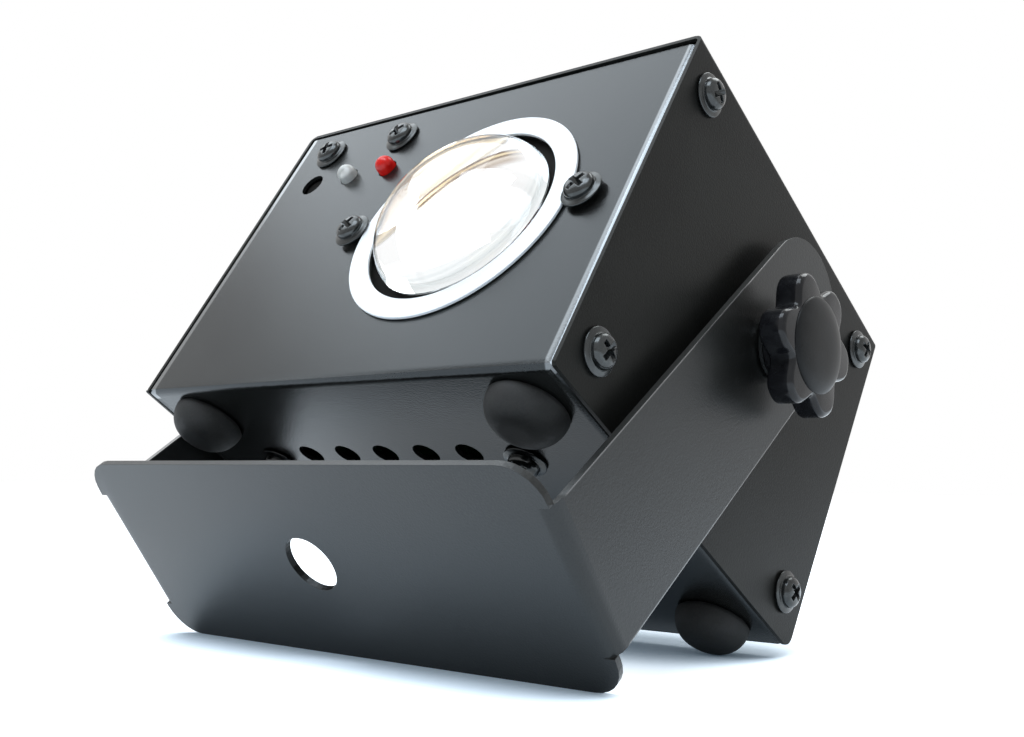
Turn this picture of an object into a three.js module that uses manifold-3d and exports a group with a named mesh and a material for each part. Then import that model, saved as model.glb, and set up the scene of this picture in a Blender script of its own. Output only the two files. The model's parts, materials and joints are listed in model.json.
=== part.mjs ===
// Compact LED strobe light: a folded sheet-metal box with a domed lens, tilting in a U bracket
// that is clamped by a lobed knob on each side. Millimetres, Z up, standing on a floor at z = 0.
import * as THREE from 'three';
import { mergeVertices } from 'three/addons/utils/BufferGeometryUtils.js';
import Module from 'manifold-3d';

const wasm = await Module();
wasm.setup();

// Clearances shared by all pieces
const gap = 0.3; // between neighbours that touch in the real light
const overrun = 3; // how far a cutting tool passes the face it cuts

// Housing: an inverted U cover over a tray-shaped chassis
const housingWidth = 130;
const housingDepth = 106;
const housingHeight = 92;
const sheetWall = 1;
const coverBend = 2;
const chassisBend = 2.2;
const panelInset = 0.6; // front and rear panels sit behind the cover's edges
const topSlot = 1; // open slot between each panel and the cover's roof
const sideFlange = 15;
const floorFlange = 8;
const windowCorner = 3;
const coverFrontCorner = 1; // rounding of the cover's free corners
const coverRearCorner = 3;

// Stance in the photograph: housing leaning back on its rear feet and the bracket's lower edge
const housingTiltDegrees = 33.8;
const pivotY = 0.5; // pivot axis from the housing's middle, to the rear
const pivotZ = 0.5; // and up

// Bracket, bent from one strip
const bracketWall = 1.6;
const bracketBend = 3.5;
const sideClearance = 4.2; // room between the housing's side and the arm
const plateReach = 83.4; // pivot to the plate's outer face
const plateHeight = 51.8;
const plateCorner = 8.3;
const earInset = 0.8; // the plate's ears end short of the arms' outer faces
const armWidth = 33.6;
const armTipReach = 34.6; // pivot to the rounded tip
const hangingHoleRadius = 7;
const hangingHoleX = -3; // the hole is punched a little off the plate's middle

// Clamp at each pivot
const studRadius = 3;
const studEngagement = 7.5; // inside the housing's wall
const pivotBore = studRadius + gap;
const spacerRadius = 9;
const washerRadius = 7;
const washerThickness = 1.2;
const nutFlangeRadius = 8;
const nutFlangeThickness = 1.2;
const nutAcrossFlats = 10;
const nutHeight = 5;
const knobRadius = 15.9;
const knobLobeCount = 6;
const knobLobeDepth = 4.2;
const knobLobeShare = 1.5; // above 1 the hollows are narrower than the lobes
const knobPhaseDegrees = 21.2;
const knobBodyHeight = 6.2;
const knobHubRadius = 8;
const knobHubHeight = 3.1;
const knobEdge = 1.2;
const knobDiscRadius = 10.6;
const knobDiscHeight = 0.8;
const knobDiscEdge = 0.4;
const knobStudDepth = 7;

// Washer-head screws
const screwShank = 2;
const screwWasherRadius = 4.9;
const screwWasherThickness = 0.7;
const screwDomeRadius = 3.6;
const screwDomeHeight = 2.1;
const screwLength = 8;
const screwHole = screwShank + gap;
const coverScrewInsetY = 9; // from the cover's front and rear edges
const coverScrewInsetZ = 10; // from its roof and its lower edge
const coverScrewSpanY = housingDepth - 2 * coverScrewInsetY;
const coverScrewSpanZ = housingHeight - 2 * coverScrewInsetZ;

// Lens and what stands behind it
const lensInset = 48; // the optical axis from the housing's right side
const lensX = housingWidth / 2 - lensInset;
const lensZ = 0.2;
const lensRadius = 21.8;
const lensDomeHeight = 13.7;
const lensSink = 1.5; // start of the dome behind the cover's front edge
const lensFlangeWidth = 1;
const lensFlangeThickness = 1.6;
const lensClearance = 3.4; // open gap between the lens and its ring
const ringWidth = 5.4;
const ringThickness = 0.6;
const ringInnerRadius = lensRadius + lensClearance;
const ringOuterRadius = ringInnerRadius + ringWidth;
const holderWall = 4.4;
const holderRadius = lensRadius + lensFlangeWidth + gap + holderWall;
const holderLip = 1;
const holderDepth = 4.8;
const holderEarThickness = 3;
const holderEarRadius = 4.8;
const lensScrewMargin = 2.15; // from the ring's rim to the screws' shanks
const lensScrewSpan = 2 * (ringOuterRadius + lensScrewMargin + screwShank);
const lensScrewReach = 6; // screw length inside the post
const postRadius = 4;
const postLength = 19;
const postStudRadius = 1.8;
const reflectorInset = 0.5; // mouth inside the lens's radius
const reflectorMouth = lensRadius - reflectorInset;
const reflectorThroat = 8.5;
const reflectorWall = 1;
const reflectorRim = 1;
const ledBoardSize = 20;
const ledBoardThickness = 1.6;
const ledDieRadius = 6;
const ledDieHeight = 0.8;
const sinkMargin = 5.75; // past the axes of its two posts
const sinkWidth = lensScrewSpan + 2 * sinkMargin;
const sinkHeight = 40;
const sinkBase = 4;
const sinkFinHeight = 14;
const sinkFinThickness = 1.6;
const sinkFinCount = 10;

// Sound pick-up and indicators on their small board
const boardInset = 29.25; // middle of the board's two screws from the housing's left side
const boardDrop = 10.8; // and below its roof
const boardScrewX = boardInset - housingWidth / 2;
const boardScrewZ = housingHeight / 2 - boardDrop;
const boardScrewSpan = 27.5;
const indicatorDrop = 11.4; // below the board's screws
const indicatorZ = boardScrewZ - indicatorDrop;
const signalLedShift = 0.55; // from the middle of the screws
const microphoneStep = 14.7; // microphone to the left of the signal light
const powerLedStep = 14.3; // power light to its right
const signalLedX = boardScrewX + signalLedShift;
const microphoneX = signalLedX - microphoneStep;
const powerLedX = signalLedX + powerLedStep;
const microphoneHoleRadius = 3.5;
const microphoneRadius = 3;
const indicatorRadius = 2.5;
const indicatorFlange = 0.4;
const indicatorFlangeHeight = 1;
const indicatorStandOut = 3.2;
const controlBoardWidth = 40;
const controlBoardHeight = 25;
const controlBoardStandOff = 4.4;
const circuitBoardThickness = 1.6;
const spacerPostRadius = 3.4;

// Mains driver on the floor of the chassis
const floorX = -2; // middle of the driver board, its screws and the floor vents
const floorScrewInsetX = 25; // from the housing's sides
const floorScrewInsetY = 30; // from its front and rear
const floorScrewSpanX = housingWidth - 2 * floorScrewInsetX;
const floorScrewSpanY = housingDepth - 2 * floorScrewInsetY;
const driverBoardEndX = 6; // board past its screws
const driverBoardEndY = 4;
const driverBoardWidth = floorScrewSpanX + 2 * driverBoardEndX;
const driverBoardDepth = floorScrewSpanY + 2 * driverBoardEndY;
const driverStandOff = 5;
const transformerWidth = 24;
const transformerDepth = 20;
const transformerHeight = 17;
const transformerX = 20;
const windingWidth = 14;
const capacitorRadius = 6.5;
const capacitorHeight = 20;
const capacitorX = -22;
const componentY = 8;

// Vent rows, in the floor and in the rear panel
const ventRadius = 3.4;
const ventPitch = 12.9;
const ventCount = 5;
const floorVentInset = 27.6; // from the housing's front
const rearVentDrop = 13; // below its roof
const floorVentY = floorVentInset - housingDepth / 2;
const rearVentZ = housingHeight / 2 - rearVentDrop;

// Rubber feet
const footInsetX = 14; // from the housing's sides
const footInsetY = 12; // from its front and rear
const footSpanX = housingWidth - 2 * footInsetX;
const footSpanY = housingDepth - 2 * footInsetY;
const footRadius = 8.8;
const footFlat = 2.8;
const footHeight = 6.8;
const footStemRadius = 2.2;
const footStemLength = 4;

// Rear panel: mains inlet and flash speed control
const inletInset = 37; // from the housing's left side
const inletRise = 34; // above its floor
const inletX = inletInset - housingWidth / 2;
const inletZ = inletRise - housingHeight / 2;
const inletFlangeWidth = 31;
const inletFlangeHeight = 24;
const inletFlangeThickness = 2;
const inletBodyWidth = 27;
const inletBodyHeight = 20;
const inletBodyDepth = 24;
const inletCorner = 4;
const inletWall = 1.6;
const inletSocketDepth = 17;
const inletPinWidth = 4;
const inletPinThickness = 2;
const inletPinSpan = 14;
const inletPinOffset = 2;
const inletPinRecess = 2;
const speedInset = 35; // from the housing's right side
const speedRise = 56; // above its floor
const speedX = housingWidth / 2 - speedInset;
const speedZ = speedRise - housingHeight / 2;
const speedBodyRadius = 8.5;
const speedBodyDepth = 8;
const speedBushRadius = 4.8;
const speedBushLength = 3;
const speedShaftRadius = 2.8;
const speedShaftSink = 3;
const speedKnobRadius = 7.5;
const speedKnobTopRadius = 6.4;
const speedKnobHeight = 12;
const speedKnobRibs = 18;
const speedKnobRibDepth = 0.6;
const speedKnobRoof = 2;
const pointerWidth = 1;
const pointerDepth = 0.5;

// Faces that follow from the sizes above, in the housing's frame: origin on the pivot axis,
// x to the light's right, y to the rear, z up when the housing stands level
const sideX = housingWidth / 2;
const roofZ = housingHeight / 2;
const floorZ = -roofZ;
const coverFrontY = -housingDepth / 2;
const panelY = coverFrontY + panelInset;
const panelBackY = panelY + sheetWall;
const rearPanelY = -panelY;
const chassisX = sideX - sheetWall - gap;
const chassisTopZ = roofZ - sheetWall - topSlot;
const armInnerX = sideX + sideClearance;
const armOuterX = armInnerX + bracketWall;

const material = (color, roughness, metalness, extra = {}) =>
  new THREE.MeshStandardMaterial({ color, roughness, metalness, ...extra });
const blackPowder = material(0x1b1c1e, 0.55, 0.2);
const blackScrew = material(0x202123, 0.3, 0.7);
const blackPlastic = material(0x0e0f10, 0.25, 0);
const mattPlastic = material(0x161616, 0.6, 0);
const blackRubber = material(0x101010, 0.85, 0);
const clearGlass = material(0xf2f4f6, 0.05, 0, { transparent: true, opacity: 0.4 });
const whiteTrim = material(0xf0f0ee, 0.4, 0);
const zincSteel = material(0xb8bcc0, 0.35, 0.9);
const bareAluminium = material(0xc4c6c8, 0.4, 0.9);
const mirrorCoat = material(0xe6e6e6, 0.1, 1);
const circuitGreen = material(0x1f5a34, 0.5, 0);
const redLens = material(0xd01010, 0.25, 0);
const clearLens = material(0xe8e8e4, 0.15, 0, { transparent: true, opacity: 0.5 });
const darkCore = material(0x2a2a2c, 0.6, 0.3);
const yellowTape = material(0xd8b83a, 0.5, 0);

// Solids

// Drops what a boolean does not need and the triangles that closed up on an axis.
function welded(geometry) {
  const bare = new THREE.BufferGeometry();
  bare.setAttribute('position', geometry.getAttribute('position').clone());
  if (geometry.index) bare.setIndex(geometry.index.clone());
  const merged = mergeVertices(bare, 1e-4);
  const kept = [];
  const index = merged.index.array;
  for (let i = 0; i < index.length; i += 3) {
    const [a, b, c] = [index[i], index[i + 1], index[i + 2]];
    if (a !== b && b !== c && c !== a) kept.push(a, b, c);
  }
  merged.setIndex(kept);
  return merged;
}

function solidOf(geometry) {
  const merged = welded(geometry);
  return new wasm.Manifold(new wasm.Mesh({
    numProp: 3,
    vertProperties: Float32Array.from(merged.getAttribute('position').array),
    triVerts: Uint32Array.from(merged.index.array),
  }));
}

function geometryOf(solid) {
  const mesh = solid.getMesh();
  const geometry = new THREE.BufferGeometry();
  const points = Float32Array.from(mesh.vertProperties);
  geometry.setAttribute('position', new THREE.BufferAttribute(points, 3));
  geometry.setIndex(Array.from(mesh.triVerts));
  geometry.computeVertexNormals();
  return geometry;
}

const join = (...geometries) =>
  geometryOf(geometries.map(solidOf).reduce((whole, next) => whole.add(next)));
const common = (...geometries) =>
  geometryOf(geometries.map(solidOf).reduce((whole, next) => whole.intersect(next)));
const cut = (base, ...tools) =>
  geometryOf(tools.map(solidOf).reduce((whole, tool) => whole.subtract(tool), solidOf(base)));

// Profiles

const polygon = (points) => new THREE.Shape(points.map(([u, v]) => new THREE.Vector2(u, v)));

function arcPoints(u, v, radius, fromDegrees, toDegrees, steps) {
  const points = [];
  for (let i = 0; i <= steps; i += 1) {
    const angle = THREE.MathUtils.degToRad(fromDegrees + ((toDegrees - fromDegrees) * i) / steps);
    points.push([u + radius * Math.cos(angle), v + radius * Math.sin(angle)]);
  }
  return points;
}

const circle = (radius, u = 0, v = 0, sides = 16) =>
  polygon(arcPoints(u, v, radius, 0, 360, sides).slice(0, -1));

// Rectangle from low to high corner with one radius a corner: low-low, high-low, high-high, low-high.
function cornered([u0, v0], [u1, v1], radii, steps = 4) {
  const corners = [[u0, v0, 1, 1], [u1, v0, -1, 1], [u1, v1, -1, -1], [u0, v1, 1, -1]];
  return polygon(corners.flatMap(([u, v, inU, inV], i) => {
    const radius = radii[i];
    if (radius === 0) return [[u, v]];
    const from = 180 + 90 * i;
    return arcPoints(u + inU * radius, v + inV * radius, radius, from, from + 90, steps);
  }));
}

// Pushes a profile drawn in the named plane from start to end along the plane's normal.
const axisX = new THREE.Vector3(1, 0, 0);
const axisY = new THREE.Vector3(0, 1, 0);
const axisZ = new THREE.Vector3(0, 0, 1);
function prism(shape, plane, start, end) {
  const geometry = new THREE.ExtrudeGeometry(shape, { depth: end - start, bevelEnabled: false });
  geometry.translate(0, 0, plane === 'xz' ? -end : start);
  const turn = new THREE.Matrix4();
  if (plane === 'yz') turn.makeBasis(axisY, axisZ, axisX);
  if (plane === 'xz') turn.makeBasis(axisX, axisZ, axisY.clone().negate());
  return geometry.applyMatrix4(turn);
}

const block = ([x0, y0, z0], [x1, y1, z1]) =>
  prism(cornered([x0, y0], [x1, y1], [0, 0, 0, 0]), 'xy', z0, z1);

// Turned piece: the profile lists radius and height, bottom to top on its outside. Its axis is
// laid along the given direction.
function turned(profile, sides, direction = axisZ) {
  const points = profile.map(([radius, height]) => new THREE.Vector2(radius, height));
  const geometry = new THREE.LatheGeometry(points, sides);
  const turn = new THREE.Quaternion().setFromUnitVectors(axisY, direction);
  return geometryOf(solidOf(geometry.applyQuaternion(turn)));
}

const tube = (outer, bore, start, end, sides, direction) =>
  turned([[bore, start], [outer, start], [outer, end], [bore, end], [bore, start]], sides, direction);

// Scene graph

// The tilting group turns on the pivot axis; the housing group inside it has the housing's frame.
const tilting = new THREE.Group();
const housing = new THREE.Group();
housing.position.set(0, -pivotY, -pivotZ);
tilting.add(housing);
const bracketArm = new THREE.Group();

function add(parent, name, geometry, finish, x = 0, y = 0, z = 0) {
  const mesh = new THREE.Mesh(geometry, finish);
  mesh.name = name;
  mesh.position.set(x, y, z);
  parent.add(mesh);
}

const bothSides = [['left', -1], ['right', 1]];
const spread = (count, pitch) => Array.from({ length: count }, (_, i) => (i - (count - 1) / 2) * pitch);

// Sheet metal

function makeCover() {
  const arch = (inset, bottom) => cornered(
    [-sideX + inset, bottom],
    [sideX - inset, roofZ - inset],
    [0, 0, coverBend - inset, coverBend - inset],
  );
  const shell = cut(
    prism(arch(0, floorZ), 'xz', coverFrontY, -coverFrontY),
    prism(arch(sheetWall, floorZ - overrun), 'xz', coverFrontY - overrun, overrun - coverFrontY),
  );
  const face = cornered(
    [coverFrontY, floorZ],
    [-coverFrontY, roofZ + overrun],
    [coverFrontCorner, coverRearCorner, 0, 0],
    4,
  );
  const holes = [prism(circle(pivotBore, pivotY, pivotZ), 'yz', -sideX - overrun, sideX + overrun)];
  for (const y of [-coverScrewSpanY / 2, coverScrewSpanY / 2]) {
    for (const z of [-coverScrewSpanZ / 2, coverScrewSpanZ / 2]) {
      holes.push(prism(circle(screwHole, y, z, 12), 'yz', -sideX - overrun, sideX + overrun));
    }
  }
  const rounded = common(shell, prism(face, 'yz', -sideX - overrun, sideX + overrun));
  add(housing, 'cover_shell', cut(rounded, ...holes), blackPowder);
}

const inletOutline = (grow, z = inletZ) => {
  const halfWidth = inletBodyWidth / 2 + grow;
  const halfHeight = inletBodyHeight / 2 + grow;
  const slope = inletCorner;
  return polygon([
    [inletX - halfWidth, z - halfHeight], [inletX + halfWidth, z - halfHeight],
    [inletX + halfWidth, z + halfHeight - slope], [inletX + halfWidth - slope, z + halfHeight],
    [inletX - halfWidth + slope, z + halfHeight], [inletX - halfWidth, z + halfHeight - slope],
  ]);
};

function makeChassis() {
  const bendSteps = 3;
  const tray = (inset, top) => {
    const x = chassisX - inset;
    const y = rearPanelY - inset;
    const bottom = floorZ + inset;
    const bend = chassisBend - inset;
    return common(
      prism(cornered([-x, -y], [x, y], [bend, bend, bend, bend], bendSteps), 'xy', bottom, top),
      prism(cornered([-y, bottom], [y, top], [bend, bend, 0, 0], bendSteps), 'yz', -x, x),
      prism(cornered([-x, bottom], [x, top], [bend, bend, 0, 0], bendSteps), 'xz', -y, y),
    );
  };
  const window = cornered(
    [panelY + sideFlange, floorZ + floorFlange],
    [rearPanelY - sideFlange, chassisTopZ + overrun],
    [windowCorner, windowCorner, 0, 0],
  );
  const tools = [
    tray(sheetWall, chassisTopZ + overrun),
    prism(window, 'yz', -chassisX - overrun, chassisX + overrun),
  ];
  const frontHole = (radius, x, z, sides) =>
    tools.push(prism(circle(radius, x, z, sides), 'xz', panelY - overrun, panelBackY + overrun));
  const rearHole = (radius, x, z, sides) =>
    tools.push(prism(circle(radius, x, z, sides), 'xz', -panelBackY - overrun, rearPanelY + overrun));
  const floorHole = (radius, x, y, sides) =>
    tools.push(prism(circle(radius, x, y, sides), 'xy', floorZ - overrun, floorZ + overrun));

  frontHole(ringInnerRadius, lensX, lensZ, 56);
  for (const [, side] of bothSides) {
    frontHole(screwHole, lensX + (side * lensScrewSpan) / 2, lensZ, 12);
    frontHole(screwHole, boardScrewX + (side * boardScrewSpan) / 2, boardScrewZ, 12);
  }
  frontHole(microphoneHoleRadius, microphoneX, indicatorZ, 16);
  for (const x of [signalLedX, powerLedX]) frontHole(indicatorRadius + gap, x, indicatorZ, 16);

  for (const x of spread(ventCount, ventPitch)) {
    floorHole(ventRadius, floorX + x, floorVentY, 16);
    rearHole(ventRadius, x, rearVentZ, 16);
  }
  for (const x of [-footSpanX / 2, footSpanX / 2]) {
    for (const y of [-footSpanY / 2, footSpanY / 2]) floorHole(footStemRadius + gap, x, y, 12);
  }
  for (const x of [floorX - floorScrewSpanX / 2, floorX + floorScrewSpanX / 2]) {
    for (const y of [-floorScrewSpanY / 2, floorScrewSpanY / 2]) floorHole(screwHole, x, y, 12);
  }
  rearHole(speedBushRadius + gap, speedX, speedZ, 16);
  tools.push(prism(inletOutline(gap), 'xz', -panelBackY - overrun, rearPanelY + overrun));
  for (const y of [-coverScrewSpanY / 2, coverScrewSpanY / 2]) {
    for (const z of [-coverScrewSpanZ / 2, coverScrewSpanZ / 2]) {
      tools.push(prism(circle(screwHole, y, z, 12), 'yz', -sideX - overrun, sideX + overrun));
    }
  }
  add(housing, 'chassis', cut(tray(0, chassisTopZ), ...tools), blackPowder);
}

// U bracket in its own frame: pivot at the origin, plate square to -Z below it. The plate stays
// flat out to its rounded ears; only the arms between them are bent up.
function makeBracket() {
  const halfPlate = plateHeight / 2;
  const halfArm = armWidth / 2;
  const plateTop = bracketWall - plateReach;
  const trough = (inset, top) => cornered(
    [-armOuterX + inset, -plateReach + inset],
    [armOuterX - inset, top],
    [bracketBend - inset, bracketBend - inset, 0, 0],
  );
  const armView = polygon([
    [-halfArm, -plateReach], [halfArm, -plateReach],
    ...arcPoints(0, armTipReach - halfArm, halfArm, 0, 180, 18),
  ]);
  const arms = cut(
    common(
      prism(trough(0, armTipReach), 'xz', -halfArm, halfArm),
      prism(armView, 'yz', -armOuterX, armOuterX),
    ),
    prism(trough(bracketWall, armTipReach + overrun), 'xz', -halfPlate, halfPlate),
  );
  const plan = cornered(
    [earInset - armOuterX, -halfPlate],
    [armOuterX - earInset, halfPlate],
    [plateCorner, plateCorner, plateCorner, plateCorner],
    7,
  );
  const flat = prism(plan, 'xy', -plateReach, plateTop);
  const bendRoots = bothSides.map(([, side]) => {
    const start = side * (armOuterX - bracketBend);
    const end = side * (armOuterX + overrun);
    return block(
      [Math.min(start, end), -halfArm, -plateReach - overrun],
      [Math.max(start, end), halfArm, plateTop + overrun],
    );
  });
  const hangingHole = prism(circle(hangingHoleRadius, hangingHoleX, 0, 32), 'xy', -plateReach - overrun, 0);
  const pivotHoles = prism(circle(pivotBore), 'yz', -armOuterX - overrun, armOuterX + overrun);
  const folded = join(arms, cut(flat, ...bendRoots));
  add(bracketArm, 'bracket', cut(folded, hangingHole, pivotHoles), blackPowder);
}

// Pivot clamp

function knobOutline(inset) {
  const sides = knobLobeCount * 8;
  const points = [];
  for (let i = 0; i < sides; i += 1) {
    const angle = (2 * Math.PI * i) / sides;
    const hollow = ((1 - Math.cos(knobLobeCount * angle)) / 2) ** knobLobeShare;
    const radius = knobRadius - inset - knobLobeDepth * hollow;
    points.push([radius * Math.cos(angle), radius * Math.sin(angle)]);
  }
  return polygon(points);
}

// Lobed clamp knob, its hub at z = 0 and its face upwards.
function knobGeometry() {
  const body = new THREE.ExtrudeGeometry(knobOutline(knobEdge), {
    depth: knobBodyHeight - 2 * knobEdge,
    bevelThickness: knobEdge,
    bevelSize: knobEdge,
    bevelSegments: 2,
  });
  body.translate(0, 0, knobHubHeight + knobEdge);
  const faceZ = knobHubHeight + knobBodyHeight;
  const hub = turned([[0, 0], [knobHubRadius, 0], [knobHubRadius, faceZ / 2], [0, faceZ / 2]], 24);
  const disc = turned([
    [0, faceZ / 2], [knobDiscRadius, faceZ / 2],
    [knobDiscRadius, faceZ + knobDiscHeight - knobDiscEdge],
    [knobDiscRadius - knobDiscEdge, faceZ + knobDiscHeight],
    [0, faceZ + knobDiscHeight],
  ], 30);
  const bore = turned([
    [0, -overrun], [pivotBore, -overrun], [pivotBore, knobStudDepth], [0, knobStudDepth],
  ], 16);
  return cut(join(body, hub, disc), bore);
}

const washerX = armOuterX + gap;
const knobX = washerX + washerThickness + gap;

function makeClamps() {
  const knob = knobGeometry();
  knob.rotateZ(THREE.MathUtils.degToRad(knobPhaseDegrees));
  const hexRadius = nutAcrossFlats / Math.sqrt(3);
  const nutFaceX = sideX - sheetWall - gap;
  for (const [name, side] of bothSides) {
    const outwards = axisX.clone().multiplyScalar(side);
    const spacer = tube(spacerRadius, pivotBore, sideX + gap, armInnerX - gap, 18, outwards);
    add(bracketArm, `spacer_washer_${name}`, spacer, blackRubber);
    const washer = tube(washerRadius, pivotBore, washerX, washerX + washerThickness, 18, outwards);
    add(tilting, `clamp_washer_${name}`, washer, zincSteel);

    const turn = new THREE.Matrix4();
    if (side > 0) turn.makeBasis(axisY, axisZ, axisX);
    else turn.makeBasis(axisY.clone().negate(), axisZ, axisX.clone().negate());
    add(tilting, `clamp_knob_${name}`, knob.clone().applyMatrix4(turn), blackPlastic, side * knobX);
    const stud = turned([
      [0, sideX - studEngagement], [studRadius, sideX - studEngagement],
      [studRadius, knobX + knobStudDepth - gap], [0, knobX + knobStudDepth - gap],
    ], 16, outwards);
    add(tilting, `clamp_stud_${name}`, stud, zincSteel);

    const flange = prism(circle(nutFlangeRadius, 0, 0, 20), 'yz', nutFaceX - nutFlangeThickness, nutFaceX);
    const hexTopX = nutFaceX - nutFlangeThickness / 2;
    const hex = prism(circle(hexRadius, 0, 0, 6), 'yz', nutFaceX - nutHeight, hexTopX);
    const bore = prism(circle(pivotBore), 'yz', nutFaceX - nutHeight - overrun, sideX);
    const nut = cut(join(flange, hex), bore);
    if (side < 0) nut.rotateZ(Math.PI);
    add(tilting, `pivot_nut_${name}`, nut, zincSteel);
  }
}

// Screws

// Washer-head screw along a direction, seated at height 0 with its shank on the negative side.
function screwGeometry(direction, length) {
  const top = screwWasherThickness + screwDomeHeight;
  const domeStart = screwWasherThickness + screwDomeHeight / 3;
  return turned([
    [0, -length], [screwShank, -length], [screwShank, 0], [screwWasherRadius, 0],
    [screwWasherRadius, screwWasherThickness], [screwDomeRadius, screwWasherThickness],
    [screwDomeRadius, domeStart], [screwDomeRadius / 2, top], [0, top],
  ], 12, direction);
}

function makeScrews() {
  const backwards = axisY.clone().negate();
  for (const [name, side] of bothSides) {
    const sideScrew = screwGeometry(axisX.clone().multiplyScalar(side), screwLength);
    for (const [rowName, row] of [['front', -1], ['rear', 1]]) {
      for (const [levelName, level] of [['lower', -1], ['upper', 1]]) {
        add(
          housing, `cover_screw_${name}_${rowName}_${levelName}`, sideScrew.clone(), blackScrew,
          side * (sideX + gap), (row * coverScrewSpanY) / 2, (level * coverScrewSpanZ) / 2,
        );
      }
      const floorScrew = screwGeometry(axisZ.clone().negate(), driverStandOff + screwLength / 2);
      add(
        housing, `driver_screw_${name}_${rowName}`, floorScrew, blackScrew,
        floorX + (side * floorScrewSpanX) / 2, (row * floorScrewSpanY) / 2, floorZ - gap,
      );
    }
    const lensSeatY = panelY - ringThickness - 2 * gap;
    const lensScrewLength = panelBackY - lensSeatY + gap + holderEarThickness + lensScrewReach;
    add(
      housing, `lens_screw_${name}`, screwGeometry(backwards, lensScrewLength), blackScrew,
      lensX + (side * lensScrewSpan) / 2, lensSeatY, lensZ,
    );
    const boardScrewLength = controlBoardStandOff + screwLength / 2;
    add(
      housing, `board_screw_${name}`, screwGeometry(backwards, boardScrewLength), blackScrew,
      boardScrewX + (side * boardScrewSpan) / 2, panelY - gap, boardScrewZ,
    );
  }
}

// Optics, each placed on the lens axis; heights run backwards from the panel's inner face

const holderFrontY = panelBackY + gap;
const flangeFrontY = holderFrontY + holderLip + gap;
const reflectorFrontY = flangeFrontY + lensFlangeThickness + gap;
const postFrontY = holderFrontY + holderEarThickness + gap;
const sinkFrontY = postFrontY + postLength + gap;

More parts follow.
